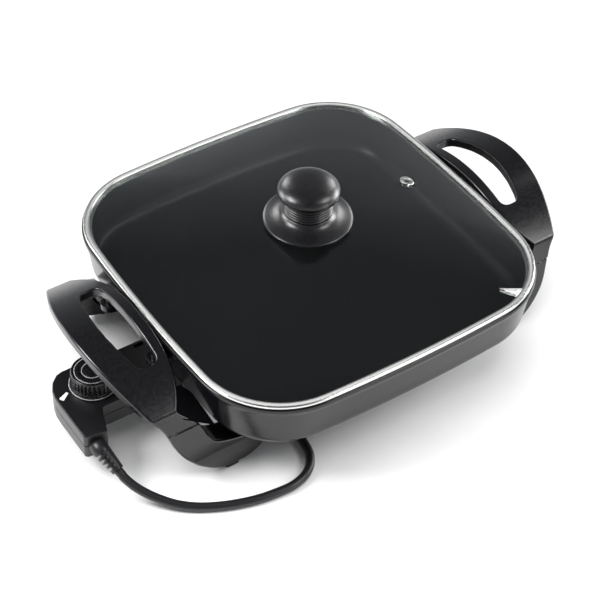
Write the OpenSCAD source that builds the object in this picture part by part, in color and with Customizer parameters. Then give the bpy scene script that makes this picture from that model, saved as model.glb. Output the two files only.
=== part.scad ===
// Electric skillet: a square cast pan with a domed glass lid, two moulded
// handles that run down into the feet, and a plug-in temperature control.
// Millimetres, +Z up, table at z = 0. Inside the modules x = 0, y = 0 is the
// middle of the pan; the control plugs in on the -X side.

/* [Pan] */
// Width of the square pan across its rim
pan_w = 300; // [280:5:340]
// Depth of the pan from rim to underside
pan_h = 46; // [44:1:64]
// Height of the pan's underside above the table
pan_lift = 41; // [38:1:50]
// Radius of the pan's corners at the rim
corner_r = 71; // [55:1:85]
// Radius of the gently bowed sides
side_r = 1400; // [900:50:3000]
// Thickness of the pan's wall
wall_t = 3.5; // [2.5:0.1:4]
// Thickness of the pan's floor
floor_t = 4; // [3.6:0.1:6]
// How far each wall leans in between rim and base
draft = 6.5; // [4:0.5:10]
// Radius of the rounding between wall and underside
base_round = 11; // [8:0.5:14]

/* [Lid] */
// Thickness of the lid glass
glass_t = 4; // [3:0.1:5]
// Height of the glass dome above its edge
dome_h = 23.3; // [14:0.1:32]
// Width of the steel rim's flange that lies on the pan
flange_w = 7.2; // [6.5:0.1:10]
// Depth of the steel rim's skirt inside the pan
skirt_h = 6; // [4:0.5:8]
// Thickness of the steel strip
strip_t = 0.8; // [0.6:0.05:1.2]
// Distance of the steam vent from the lid's middle
vent_x = 100; // [70:1:110]
// Turn of the steam vent from the lid's right-hand side, in degrees
vent_turn = 3; // [0:1:10]
// Diameter of the steam vent's hole in the glass
vent_d = 8; // [6:0.5:10]

/* [Knob] */
// Diameter of the knob's heat shield
shield_d = 70; // [60:1:80]
// Diameter of the knob's ribbed neck
neck_d = 39; // [34:0.5:42]
// Height of the ribbed neck
neck_h = 15; // [10:0.5:20]
// Diameter of the knob's head
head_d = 48.6; // [46:0.2:56]
// Height of the knob's head
head_h = 13.4; // [10:0.2:18]
// Diameter of the knob screw
knob_screw_d = 5; // [4:0.5:6]

/* [Handles] */
// How far the grip stands out from the pan's rim
grip_reach = 57; // [53:1:66]
// Height of the grip's middle above the rim
grip_rise = 5; // [2:0.5:10]
// Distance between the two creases where the grip turns into its legs
grip_len = 162; // [156:2:176]
// Thickness of the grip
grip_t = 8; // [6:0.5:10]
// Thickness of the legs
leg_t = 7; // [5:0.5:8]
// Width of the bar between the finger opening and the pan
inner_bar = 7; // [6:0.5:9]
// Length of the finger opening
slot_len = 94; // [84:2:100]
// Width of the finger opening
slot_w = 26; // [22:0.5:27]
// Thickness of the foot pads
pad_h = 2; // [1:0.5:3]
// Diameter of the handle and foot screws
case_screw_d = 4; // [3:0.5:4]

/* [Heating] */
// Diameter of the tubular heating element
element_d = 8; // [6.5:0.5:9]
// Width of the heating element's loop
loop_w = 180; // [160:5:200]
// Diameter of the two terminal pins
pin_d = 4.6; // [4:0.1:5]
// Distance between the two terminal pins
pin_gap = 22; // [20:0.5:26]
// Diameter of the temperature probe
probe_d = 6.4; // [5:0.1:7]
// Depth of the terminals below the pan's underside
terminal_drop = 9; // [7:0.5:12]

/* [Control] */
// Offset of the control's axis from the pan's middle
control_y = -5; // [-12:1:12]
// Width of the control's casing
case_w = 48; // [46:1:56]
// Length of the control's casing
case_len = 54.5; // [52:0.5:64]
// Height of the control's casing
case_h = 23; // [23:0.5:28]
// Thickness of the casing's walls
case_t = 2; // [1.6:0.1:2.6]
// How far the cord arm reaches past the casing
arm_len = 21; // [18:1:30]
// Width of the cord arm
arm_w = 18; // [17:0.5:22]
// Diameter of the dial
dial_d = 36; // [30:1:38]
// Height of the dial
dial_h = 13.4; // [10:0.2:18]
// Diameter of the dial's spindle
spindle_d = 6; // [5:0.5:8]

/* [Cord] */
// Diameter of the mains cord
cord_d = 7; // [6:0.5:8]
// Diameter of the strain relief where it leaves the casing
relief_d = 12; // [11:0.5:14]
// Length of the bent part of the strain relief
relief_len = 28; // [24:1:40]

/* [Hidden] */
$fn = 64;

fit = 0.05;         // radial clearance of a running fit
seat = 0.15;        // clearance where one piece lies on another
gap = 0.3;          // clearance between pieces that move apart
half = pan_w / 2;
rim_z = pan_lift + pan_h;
arc_n = 8;          // steps in one corner arc

// Colours
black = [0.09, 0.09, 0.10];
enamel = [0.13, 0.13, 0.15];
steel = [0.75, 0.76, 0.78];
ceramic = [0.93, 0.91, 0.86];
brass = [0.80, 0.68, 0.36];

// ---------------------------------------------------------------- outlines

// One quarter of a square with bowed sides: half width h, corner radius r,
// side radius big. The corner arc meets both side arcs without a kink.
function quarter(h, r, big) =
    let (a = h - big,
         c = (a + sqrt(2 * pow(big - r, 2) - a * a)) / 2,
         t = atan2(c, c - a))
    concat([for (k = [-2:2]) [a + big * cos(t * k / 2), big * sin(t * k / 2)]],
           [for (k = [1:arc_n - 1])
               let (g = t + (90 - 2 * t) * k / arc_n) [c + r * cos(g), c + r * sin(g)]]);

function turned(p, q) = [p[0] * cos(q) - p[1] * sin(q), p[0] * sin(q) + p[1] * cos(q)];

// A closed ring of points at height z
function ring(h, r, big, z) =
    [for (q = [0:3]) for (p = quarter(h, r, big)) let (w = turned(p, 90 * q)) [w[0], w[1], z]];

// The rim's outline moved in by d
function rim_ring(d, z) = ring(half - d, corner_r - d, side_r - d, z);

// A polygon moved in by d, corner by corner
function edge_normal(p, i) =
    let (n = len(p), e = p[(i + 1) % n] - p[i % n]) [-e[1], e[0]] / norm(e);
function inset(p, d) =
    let (n = len(p))
    [for (i = [0:n - 1])
        let (u = edge_normal(p, i + n - 1), v = edge_normal(p, i))
        p[i] + (u + v) * d / (1 + u * v)];

// Solid skin over a list of point loops of equal length
module skin(loops, closed = false) {
    m = len(loops);
    n = len(loops[0]);
    walls = [for (i = [0:closed ? m - 1 : m - 2]) for (j = [0:n - 1])
        let (a = i * n, b = ((i + 1) % m) * n, k = (j + 1) % n)
        each [[a + j, b + j, b + k], [a + j, b + k, a + k]]];
    caps = closed ? [] : [[for (j = [0:n - 1]) j], [for (j = [n - 1:-1:0]) (m - 1) * n + j]];
    polyhedron(points = [for (s = loops) each s], faces = concat(walls, caps), convexity = 10);
}

// A tube of round rings swept along points; flat ends square to the line
function unit(v) = v / norm(v);
function sweep_ring(p, k, r, n) =
    let (m = len(p),
         t = unit(p[min(k + 1, m - 1)] - p[max(k - 1, 0)]),
         u = unit(cross([0, 0, 1], t)),
         w = cross(t, u))
    [for (j = [0:n - 1]) p[k] + r * cos(360 * j / n) * u + r * sin(360 * j / n) * w];
// Points put in between the chosen ones on a smooth curve
function between(p, k, t) =
    let (m = len(p), a = p[max(k - 1, 0)], b = p[k], c = p[k + 1], d = p[min(k + 2, m - 1)])
    0.5 * (2 * b + (c - a) * t + (2 * a - 5 * b + 4 * c - d) * t * t + (3 * b - a - 3 * c + d) * t * t * t);
function smooth(p, n) =
    concat([for (k = [0:len(p) - 2]) for (i = [0:n - 1]) between(p, k, i / n)], [p[len(p) - 1]]);
module tube_along(line, r, n = 10) skin([for (k = [0:len(line) - 1]) sweep_ring(line, k, r, n)]);

module bar_x(x0, x1, r) translate([x0, 0, 0]) rotate([0, 90, 0]) cylinder(h = x1 - x0, r = r);

module tube_z(z0, z1, r_out, r_in) {
    difference() {
        translate([0, 0, z0]) cylinder(h = z1 - z0, r = r_out);
        translate([0, 0, z0 - 1]) cylinder(h = z1 - z0 + 2, r = r_in);
    }
}

module box(low, high) translate(low) cube(high - low);

// Pan-head screw along +Z: shank from z0 to z1, head below z0
module screw(z0, z1, d, head_r, head_t) {
    translate([0, 0, z0]) cylinder(h = z1 - z0, r = d / 2);
    difference() {
        translate([0, 0, z0 - head_t]) cylinder(h = head_t, r = head_r);
        for (a = [0, 90]) rotate([0, 0, a])
            translate([-head_r * 0.6, -0.5, z0 - head_t - 1]) cube([head_r * 1.2, 1, 1.9]);
    }
}

// ---------------------------------------------------------------- pan

base_half = half - draft;
crease_y = grip_len / 2;
bar_gap = 4;                              // from the rim to the handle's inner bar
lug_w = 14;
lug_y = 34;                               // lugs carry the handles' inner bars
bar_x_mid = half + bar_gap + inner_bar / 2 - 0.2;   // middle of the handle's inner bar
lug_top = rim_z - 11;
lug_t = 6;
foot_lug = [half - 38, crease_y + 10, 5]; // x, y and depth of the lugs above the feet
leg_lug_d = 11;
screw_head_r = 3.8;
foot_base = 12;                           // underside of the bosses on the feet

function wall_half(z) = base_half + draft * (z - pan_lift - base_round) / (pan_h - base_round);
function wall_ring(z, inward) =
    let (h = wall_half(z)) ring(h - inward, corner_r - inward - (half - h) * 1.7, side_r - inward, z);
function round_ring(a, inward) =
    ring(base_half - (base_round) * (1 - cos(a)) - inward * cos(a),
         corner_r - draft * 1.7 - base_round * (1 - cos(a)) - inward * cos(a), side_r,
         pan_lift + base_round * (1 - sin(a)) + inward * sin(a));

// Ring of the cove between wall and floor inside the pan
function cove_ring(d, z) =
    ring(base_half - wall_t - d, corner_r - draft * 1.7 - wall_t - d, side_r, pan_lift + floor_t + z);

module pan_shell() {
    bead = 4;
    skin([round_ring(90, 0), round_ring(68, 0), round_ring(45, 0), round_ring(22, 0),
          wall_ring(pan_lift + base_round, 0), wall_ring(rim_z - bead - 2, 0.6),
          rim_ring(0, rim_z - bead), rim_ring(0, rim_z - 0.6), rim_ring(0.6, rim_z),
          rim_ring(wall_t - 0.6, rim_z), rim_ring(wall_t, rim_z - 0.6),
          wall_ring(pan_lift + base_round + 1, wall_t),
          cove_ring(1.6, 4.6), cove_ring(5, 1.2), cove_ring(9, 0)]);
}

module at_lugs() {
    for (sx = [-1, 1]) for (sy = [-1, 1]) translate([sx * bar_x_mid, sy * lug_y, 0]) children();
}

module at_feet() {
    for (sx = [-1, 1]) for (sy = [-1, 1])
        translate([sx * foot_lug[0], sy * foot_lug[1], 0]) children();
}

module pan_body() color(enamel) difference() {
    union() {
        pan_shell();
        // side lugs under the handles' inner bars
        for (sx = [-1, 1]) for (sy = [-1, 1])
            translate([sx > 0 ? half - 5 : -bar_x_mid, sy * lug_y - lug_w / 2, lug_top - lug_t])
                cube([bar_x_mid - half + 5, lug_w, lug_t]);
        at_lugs() translate([0, 0, lug_top - lug_t]) cylinder(h = lug_t, r = lug_w / 2);
        // lugs that stand on the feet
        at_feet() translate([0, 0, pan_lift - foot_lug[2]])
            cylinder(h = foot_lug[2] + floor_t / 2, r = leg_lug_d / 2);
    }
    at_lugs() translate([0, 0, lug_top - lug_t - 1]) cylinder(h = lug_t + 2, r = case_screw_d / 2 + fit);
    at_feet() translate([0, 0, pan_lift - foot_lug[2] - 1])
        cylinder(h = foot_lug[2] + 1 + floor_t - 1.2, r = case_screw_d / 2 + fit);
    at_clip_screws() translate([0, 0, pan_lift - 1]) cylinder(h = floor_t - 0.2, r = clip_screw_d / 2 + fit);
    at_guard_screws() translate([0, 0, pan_lift - 1]) cylinder(h = floor_t - 0.2, r = clip_screw_d / 2 + fit);
    // socket for the probe sleeve's rivet
    at_sleeve_rivet() translate([0, 0, pan_lift - 1]) cylinder(h = floor_t - 0.2, r = sleeve_rivet_r + fit);
}

// ---------------------------------------------------------------- heating

element_z = pan_lift - element_d / 2 - seat;
terminal_z = pan_lift - terminal_drop;
loop_h = loop_w / 2;
bend_r = 30;
entry_r = 16;
ramp_len = 12;                            // the ends slope down to the terminals
end_x = half - 27;                        // where the element's sheath ends
insulator_len = 6;
pin_tip_x = half + 16;
clip_screw_d = 3;
clip_t = 1.2;

// Points along a level arc about c, from angle a0 to a1
function arc(c, r, a0, a1, z) = let (n = 6)
    [for (k = [0:n]) let (a = a0 + (a1 - a0) * k / n) [c[0] + r * cos(a), c[1] + r * sin(a), z]];

// Half of the element's centre line, from one terminal to the middle of the far side; s is the side
function half_loop(s) =
    let (k = loop_h - bend_r,
         y = control_y + s * pin_gap / 2,
         x = -end_x + 3,
         e = loop_h + entry_r)
    concat([[-end_x, y, terminal_z], [x, y, terminal_z], [x + ramp_len, y, element_z]],
           arc([-e, y + s * entry_r], entry_r, -s * 90, 0, element_z),
           arc([-k, s * k], bend_r, s * 180, s * 90, element_z),
           arc([k, s * k], bend_r, s * 90, 0, element_z));

module heating_element() color([0.45, 0.44, 0.43]) {
    back = half_loop(-1);
    tube_along(concat(half_loop(1), [for (k = [len(back) - 1:-1:0]) back[k]]), element_d / 2, 14);
}

module at_pins() for (s = [-1, 1]) translate([0, control_y + s * pin_gap / 2, terminal_z]) children();

module pin_insulators() color(ceramic) at_pins() difference() {
    bar_x(-end_x - insulator_len, -end_x, element_d / 2 - 0.3);
    bar_x(-end_x - insulator_len - 1, -end_x + 1, pin_d / 2 + fit);
}

module terminal_pins() color(steel) at_pins() {
    bar_x(-pin_tip_x + 1.5, -end_x, pin_d / 2);
    translate([-pin_tip_x + 1.5, 0, 0]) rotate([0, -90, 0])
        cylinder(h = 1.5, r1 = pin_d / 2, r2 = pin_d / 2 - 0.8);
}

// Clips hold the element against the pan at the middle of three sides
clip_places = [[loop_h, 0, 90], [0, loop_h, 0], [0, -loop_h, 0]];
clip_w = 12;
clip_foot = 9;
module at_clips() for (c = clip_places) translate([c[0], c[1], 0]) rotate([0, 0, c[2]]) children();
module at_clip_screws() at_clips() for (s = [-1, 1])
    translate([0, s * (element_d / 2 + clip_t + clip_foot / 2), 0]) children();

module element_clips() color(steel) {
    r = element_d / 2 + seat;
    side = r + clip_t + clip_foot;
    at_clips() difference() {
        union() {
            translate([0, 0, element_z]) bar_x(-clip_w / 2, clip_w / 2, r + clip_t);
            box([-clip_w / 2, -side, pan_lift - clip_t - seat / 2], [clip_w / 2, side, pan_lift - seat / 2]);
        }
        translate([0, 0, element_z]) bar_x(-clip_w, clip_w, r);
        box([-clip_w, -r, element_z], [clip_w, r, pan_lift + 1]);
        box([-clip_w, -side - 1, pan_lift - seat / 2], [clip_w, side + 1, pan_lift + element_d]);
        for (s = [-1, 1]) translate([0, s * (element_d / 2 + clip_t + clip_foot / 2), pan_lift - 5])
            cylinder(h = 10, r = clip_screw_d / 2 + fit);
    }
}

module clip_screws() color(steel) at_clip_screws()
    screw(pan_lift - clip_t - seat, pan_lift + floor_t - 1.6, clip_screw_d, 2.8, 1.8);

// Aluminium sleeve that takes the tip of the temperature probe
sleeve_x0 = half - 66;
sleeve_x1 = half - 32;
sleeve_w = probe_d + 4;
sleeve_rivet_r = 2;
probe_bore = probe_d / 2 + fit;
module at_sleeve_rivet() translate([-sleeve_x0 - 6, control_y, 0]) children();
module probe_sleeve() color([0.72, 0.73, 0.74]) {
    difference() {
        box([-sleeve_x1, control_y - sleeve_w / 2, terminal_z - sleeve_w / 2],
            [-sleeve_x0 + 6, control_y + sleeve_w / 2, pan_lift - seat / 2]);
        translate([0, control_y, terminal_z]) bar_x(-sleeve_x1 - 1, -sleeve_x0 - 10, probe_bore);
    }
    at_sleeve_rivet() translate([0, 0, pan_lift - 1]) cylinder(h = floor_t - 0.4, r = sleeve_rivet_r);
}

// Guard round the terminals: a tray hung from the pan's underside
nose_w = pin_gap + 17;
nose_top = terminal_z + 6.4;
nose_low = terminal_z - 7.4;
guard_t = 2;
guard_y = nose_w / 2 + gap;
guard_x0 = half - 24;
guard_x1 = half + 20.5;
guard_low = nose_low - gap - guard_t;
tab_len = 13;
tab_w = 10;
tab_y = guard_y + guard_t / 2 + 1.5;      // tabs stay clear of the element's ends
module at_guard_screws() for (s = [-1, 1])
    translate([-guard_x0 + tab_len / 2, control_y + s * tab_y, 0]) children();

module terminal_guard() color(black) translate([0, control_y, 0]) difference() {
    union() {
        // floor and two side walls
        box([-guard_x1, -guard_y - guard_t, guard_low], [-guard_x0, guard_y + guard_t, guard_low + guard_t]);
        for (s = [-1, 1]) {
            box([-guard_x1, s * (guard_y + guard_t / 2) - guard_t / 2, guard_low],
                [-guard_x0, s * (guard_y + guard_t / 2) + guard_t / 2, pan_lift - seat]);
            box([-guard_x1, s * (guard_y + guard_t / 2) - guard_t / 2, guard_low],
                [-half, s * (guard_y + guard_t / 2) + guard_t / 2, nose_top + gap]);
        }
        // roof outside the pan
        box([-guard_x1, -guard_y - guard_t, nose_top + gap],
            [-half, guard_y + guard_t, nose_top + gap + guard_t]);
        // end wall and screw tabs
        box([-guard_x0 - guard_t, -guard_y, guard_low], [-guard_x0, guard_y, pan_lift - seat]);
        for (s = [-1, 1])
            box([-guard_x0 - 6, s * tab_y - tab_w / 2, pan_lift - seat - guard_t],
                [-guard_x0 + tab_len, s * tab_y + tab_w / 2, pan_lift - seat]);
    }
    for (s = [-1, 1]) {
        translate([0, s * pin_gap / 2, terminal_z]) bar_x(-guard_x0 - 5, -guard_x0 + 5, element_d / 2 + 0.2);
        translate([-guard_x0 + tab_len / 2, s * tab_y, pan_lift - 5])
            cylinder(h = 8, r = clip_screw_d / 2 + fit);
    }
    translate([0, 0, terminal_z]) bar_x(-guard_x0 - 5, -guard_x0 + 5, probe_d / 2 + 0.4);
}

module guard_screws() color(steel) at_guard_screws()
    screw(pan_lift - seat - guard_t, pan_lift + floor_t - 1.6, clip_screw_d, 2.8, 1.8);

// ---------------------------------------------------------------- handles

top_z = rim_z + grip_rise;
arch_k = 246;                             // the arch falls y*y / arch_k
bow_k = 350;                              // the outer edge draws in y*y / bow_k
function arch_z(y) = top_z - y * y / arch_k;
crease_z = arch_z(crease_y);

// Stations of the grip: [y, z, inner x, outer x, thickness]
grip_n = 9;
grip_line = [for (k = [0:grip_n]) let (y = crease_y * k / grip_n)
    [y, arch_z(y), half + bar_gap + 12.3 * pow(k / grip_n, 4), half + grip_reach - y * y / bow_k, grip_t]];

// Stations of the leg: [share of its height, step out, inner x, outer x] from the rim's side
leg_plan = [[0.02, 0.7, 15.4, 35.9], [0.12, 3.6, 8.8, 32], [0.23, 6.8, 2.5, 28.6], [0.25, 6.6, 1.5, 27.6],
    [0.42, 10.4, -2.4, 24.5],
    [0.52, 12.4, -7, 21.5], [0.58, 13.5, -13, 19.3], [0.63, 14.4, -29, 17], [0.67, 15.1, -50, 14.8],
    [0.72, 15.9, -51.5, 12], [0.78, 16.8, -48, 8], [0.85, 17.8, -41.5, 2], [0.91, 18.4, -34, -4],
    [0.96, 18.8, -27, -11.5], [1.01, 19, -20, -18.5]];
leg_line = [for (s = leg_plan)
    [crease_y + s[1], crease_z * (1 - s[0]), half + s[2], half + s[3], leg_t]];

half_line = concat(grip_line, leg_line);
handle_line = concat([for (k = [len(half_line) - 1:-1:1])
    let (s = half_line[k]) [-s[0], s[1], s[2], s[3], s[4]]], half_line);

// Rounded bar section between x0 and x1, thickness t below the line
function corner_pts(cx, cn, r, a) =
    [for (k = [0:2]) [cx + r * cos(a - 45 * k), cn + r * sin(a - 45 * k)]];
function bar_section(x0, x1, t) =
    let (soft = min(2.6, (x1 - x0) / 3), edge = min(1.2, (x1 - x0) / 4))
    concat(corner_pts(x1 - edge, edge - t, edge, 0),
           corner_pts(x0 + edge, edge - t, edge, -90),
           corner_pts(x0 + edge, -edge, edge, 180),
           corner_pts(x1 - soft, -soft, soft, 90));
function station(k) =
    let (n = len(handle_line),
         s = handle_line[k],
         a = handle_line[max(k - 1, 0)],
         b = handle_line[min(k + 1, n - 1)],
         t = [b[0] - a[0], b[1] - a[1]] / norm([b[0] - a[0], b[1] - a[1]]))
    [for (p = bar_section(s[2], s[3], s[4])) [p[0], s[0] - t[1] * p[1], s[1] + t[0] * p[1]]];

// Finger opening: a rounded bean, squarer than an ellipse
slot_x = half + bar_gap + inner_bar + slot_w / 2;
function signed_pow(v, e) = sign(v) * pow(abs(v), e);
module finger_slot() {
    pts = [for (a = [0:10:350])
        let (y = slot_len / 2 * signed_pow(sin(a), 0.72), bend = cos(a) > 0 ? 5.5 : -0.6)
        [slot_x + slot_w / 2 * signed_pow(cos(a), 0.72) - bend * pow(2 * y / slot_len, 2), y]];
    translate([0, 0, crease_z]) linear_extrude(height = top_z - crease_z + 10) polygon(pts);
}

boss_d = 9;
module handle() color(black) difference() {
    union() {
        skin([for (k = [0:len(handle_line) - 1]) station(k)]);
        for (sy = [-1, 1]) {
            // bosses down to the pan's side lugs
            translate([bar_x_mid, sy * lug_y, lug_top + seat])
                cylinder(h = arch_z(lug_y + boss_d / 2) - 2 - lug_top, r = boss_d / 2);
            // bosses under the pan's corner lugs
            translate([foot_lug[0], sy * foot_lug[1], foot_base])
                cylinder(h = pan_lift - foot_lug[2] - seat - foot_base, r = leg_lug_d / 2);
        }
        web();
        mirror([0, 1, 0]) web();
    }
    finger_slot();
    pan_room(gap);
    box([0, -pan_w, -50], [pan_w, pan_w, pad_h]);
    for (sy = [-1, 1]) {
        translate([bar_x_mid, sy * lug_y, lug_top - 1]) cylinder(h = 8, r = case_screw_d / 2 + fit);
        translate([foot_lug[0], sy * foot_lug[1], 0]) {
            cylinder(h = pan_lift, r = case_screw_d / 2 + fit);
            translate([0, 0, foot_base - 6]) cylinder(h = 6, r = screw_head_r + gap);
        }
        translate([half - 19.5, sy * (crease_y + 19 - leg_t / 2), -1])
            cylinder(h = pad_h + 3, r = pad_stem_r + fit);
    }
}

// Gusset that reaches from the leg to the pan's corner
web_corners = [[-4.1, -14.1, -5.4], [0.5, 5, -15.4], [-11, 8, -23.4], [14, 4, -7], [15, -2, -4], [4, 2, -17]];
module web() hull() for (p = web_corners)
    translate([half + p[0], crease_y + p[1], crease_z + p[2]]) sphere(r = 0.4, $fn = 8);

// The pan with air round it, kept free of the handles
module pan_room(air) {
    g = -air;
    skin([round_ring(90, g), round_ring(45, g), wall_ring(pan_lift + base_round, g),
          wall_ring(rim_z - 6, g), rim_ring(g, rim_z - 4), rim_ring(g, rim_z + 3)]);
}

module handle_right() handle();
module handle_left() mirror([1, 0, 0]) handle();

module handle_screws() color(steel) at_lugs()
    screw(lug_top - lug_t - seat, lug_top + 6, case_screw_d, screw_head_r, 2.4);

module foot_screws() color(steel) at_feet()
    screw(foot_base - seat, pan_lift + floor_t - 1.6, case_screw_d, screw_head_r, 2.4);

pad_stem_r = 1.5;
pad_len = 12;
pad_w = 5;
module foot_pads() color([0.2, 0.2, 0.2])
    for (sx = [-1, 1]) for (sy = [-1, 1])
        translate([sx * (half - 19.5), sy * (crease_y + 19 - leg_t / 2), 0]) {
            straight = (pad_len - pad_w) / 2;
            for (s = [-1, 1]) translate([s * straight, 0, 0]) cylinder(h = pad_h - seat / 2, r = pad_w / 2);
            box([-straight, -pad_w / 2, 0], [straight, pad_w / 2, pad_h - seat / 2]);
            cylinder(h = pad_h + 1.8, r = pad_stem_r);
        }

// ---------------------------------------------------------------- lid

lid_z = rim_z + 0.2;                      // underside of the rim's flange
wall_lean = draft / (pan_h - base_round);
skirt_out = wall_t + wall_lean * skirt_h + gap;   // from the outline in to the skirt
skirt_in = skirt_out + strip_t;
glass_edge = skirt_in + 0.1;
glass_slope = 2 * dome_h / (half - glass_edge);
glass_low = lid_z + strip_t - 0.2 - glass_t;
glass_top = glass_low + glass_t;
dome_top = glass_top + dome_h;

module lid_rim() color(steel) {
    lip = glass_top + 0.1;
    rise = glass_slope * (flange_w - skirt_in);
    skin([rim_ring(0, lid_z), rim_ring(0, lip), rim_ring(0.7, lip + strip_t - 0.2),
          rim_ring(skirt_in, lip + strip_t), rim_ring(flange_w - 0.3, lip + rise + strip_t),
          rim_ring(flange_w, lip + rise + strip_t / 2), rim_ring(flange_w, lip + rise),
          rim_ring(skirt_in, lip), rim_ring(skirt_in, glass_low - 0.1),
          rim_ring(flange_w + 0.4, glass_low - 0.1), rim_ring(flange_w + 0.4, glass_low - 0.1 - strip_t),
          rim_ring(skirt_in, glass_low - 0.1 - strip_t),
          rim_ring(skirt_in, lid_z - skirt_h), rim_ring(skirt_out, lid_z - skirt_h),
          rim_ring(skirt_out, lid_z)], closed = true);
}

// The dome's outline turns from the pan's square to a circle in the middle
function dome_ring(s, drop) =
    let (h = (half - glass_edge) * s,
         square_r = (corner_r - glass_edge) / (half - glass_edge),
         bulge = side_r / half)
    ring(h, h * (0.98 - (0.98 - square_r) * s * s), h * (1.03 + (bulge - 1.03) * s * s),
         glass_top + dome_h * (1 - pow(s, 2)) - drop);
dome_steps = [0.06, 0.2, 0.4, 0.6, 0.75, 0.88, 1];

module vent_place() {
    s = vent_x / (half - glass_edge);
    slope = atan(2 * dome_h * s / (half - glass_edge));
    rotate([0, 0, vent_turn]) translate([vent_x, 0, glass_top + dome_h * (1 - s * s)])
        rotate([0, slope, 0]) children();
}

module lid_glass() color([0.75, 0.82, 0.85, 0.4]) difference() {
    skin(concat([for (s = dome_steps) dome_ring(s, glass_t)],
                [for (k = [len(dome_steps) - 1:-1:0]) dome_ring(dome_steps[k], 0)]));
    cylinder(h = dome_top + 10, r = knob_screw_d / 2 + 0.4);
    vent_place() cylinder(h = 30, r = vent_d / 2, center = true);
}

module vent_eyelet() color(steel) vent_place() {
    r = vent_d / 2 - fit;
    rotate_extrude() polygon([[r - 0.8, -glass_t - 1], [r, -glass_t - 1], [r, 0.25], [r + 1.6, 0.25],
        [r + 1.9, 0.5], [r + 1.5, 0.9], [r, 1.05], [r - 0.8, 0.7]]);
    // rolled end under the glass
    rotate_extrude() polygon([[r - 0.1, -glass_t - 1], [r + 1.4, -glass_t - 1], [r + 1.4, -glass_t - 0.3],
        [r - 0.1, -glass_t - 0.3]]);
}

// Knob: seal, heat shield with a flared flange, ribbed neck and domed head
seal_t = 1;
shield_z = dome_top + seal_t + seat;
neck_z = shield_z + 9;
head_z = neck_z + neck_h;
bore_r = knob_screw_d / 2 + fit;

module knob_seal() color([0.3, 0.3, 0.3]) tube_z(dome_top + seat / 2, dome_top + seal_t, 12, bore_r + 0.2);

module knob_shield() color(black) rotate_extrude($fn = 96) polygon([
    [bore_r, shield_z], [12, shield_z], [15, shield_z + 1],
    [shield_d / 2 - 2, shield_z - 0.3], [shield_d / 2, shield_z + 0.4], [shield_d / 2, shield_z + 1.6],
    [shield_d / 2 - 0.8, shield_z + 2.2], [shield_d / 2 - 7, shield_z + 3.4],
    [neck_d / 2 + 3.5, shield_z + 5.4], [neck_d / 2 + 0.9, shield_z + 7.2],
    [neck_d / 2 + 0.2, shield_z + 8.9],
    [bore_r, shield_z + 8.9]]);

rib_n = 6;
module lid_knob() color(black) rotate_extrude($fn = 96) polygon(concat(
    [[bore_r, neck_z], [neck_d / 2 - 0.5, neck_z]],
    [for (k = [0:rib_n - 1]) each [
        [neck_d / 2 - 0.9, neck_z + 0.6 + k * neck_h / rib_n],
        [neck_d / 2, neck_z + 1.0 + k * neck_h / rib_n],
        [neck_d / 2, neck_z + neck_h * (k + 0.72) / rib_n],
        [neck_d / 2 - 0.9, neck_z + neck_h * (k + 0.88) / rib_n]]],
    [[neck_d / 2 - 0.6, head_z], [head_d / 2 - 1.2, head_z + 1.2],
     [head_d / 2, head_z + 3.4], [head_d / 2 - 0.6, head_z + 6],
     [head_d / 2 - 2.6, head_z + head_h * 0.64], [head_d / 2 - 6, head_z + head_h * 0.81],
     [head_d / 2 - 11, head_z + head_h * 0.93], [head_d / 4 - 5, head_z + head_h * 0.99],
     [0, head_z + head_h], [0, head_z + 4], [bore_r, head_z + 4]]));

module knob_washer() color(steel)
    tube_z(dome_top - glass_t - 1.6, dome_top - glass_t - seat, 9, bore_r);

module knob_screw() color(steel)
    screw(dome_top - glass_t - 1.75, head_z + 3, knob_screw_d, 5, 3);

// ---------------------------------------------------------------- control

case_x0 = half + 22;                      // face towards the pan
case_x1 = case_x0 + case_len;             // outer face
case_low = terminal_z - 13;
case_top = case_low + case_h;
split_z = case_low + 12;
dial_x = case_x0 + 23;
arm_y = -case_w / 2 - arm_len;
arm_in = case_x1 - arm_w;

// Plan of the casing with its cord arm, counter-clockwise; y is from the control's axis
case_plan = [[-case_x0, case_w / 2], [-case_x1 + 17, case_w / 2], [-case_x1 + 12, case_w / 2 - 1.2],
    [-case_x1 + 6, case_w / 2 - 6.5], [-case_x1 + 2, case_w / 2 - 13.5], [-case_x1 + 0.3, case_w / 2 - 21],
    [-case_x1, case_w / 2 - 28], [-case_x1, arm_y + 2.8], [-case_x1 + 1.6, arm_y + 1.1],
    [-arm_in - 1.2, arm_y - 1.5], [-arm_in, arm_y - 0.4], [-arm_in + 7, -case_w / 2],
    [-case_x0, -case_w / 2]];
case_edge = 0.8;                          // small step round the casing's top and underside

// The plan moved in by d, from z0 to z1
module case_slab(d, z0, z1)
    translate([0, 0, z0]) linear_extrude(height = z1 - z0) polygon(inset(case_plan, d));

module control_cover() color(black) translate([0, control_y, 0]) difference() {
    union() {
        difference() {
            union() {
                case_slab(0, split_z, case_top - case_edge);
                case_slab(case_edge, case_top - case_t - 1, case_top);
            }
            case_slab(case_t, split_z - 1, case_top - case_t);
        }
        // collar under the dial and the spindle's bush
        translate([-dial_x, 0, case_top - case_t / 2]) cylinder(h = case_t / 2 + 1.3, r = dial_d / 2 + 1.8);
        translate([-dial_x, 0, case_top - case_t - 3]) cylinder(h = 4, r = spindle_d / 2 + 2.5);
        case_posts(split_z + seat, case_top - 1);
    }
    translate([-dial_x, 0, 0]) cylinder(h = 100, r = spindle_d / 2 + fit);
    at_lens() box([-lens[0] / 2 - fit, -lens[1] / 2 - fit, case_top - 5],
        [lens[0] / 2 + fit, lens[1] / 2 + fit, case_top + 5]);
    nose_cut();
    relief_cut();
    at_case_screws() translate([0, 0, case_low])
        cylinder(h = case_h - case_t - 0.5, r = clip_screw_d / 2 + fit);
}

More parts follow.
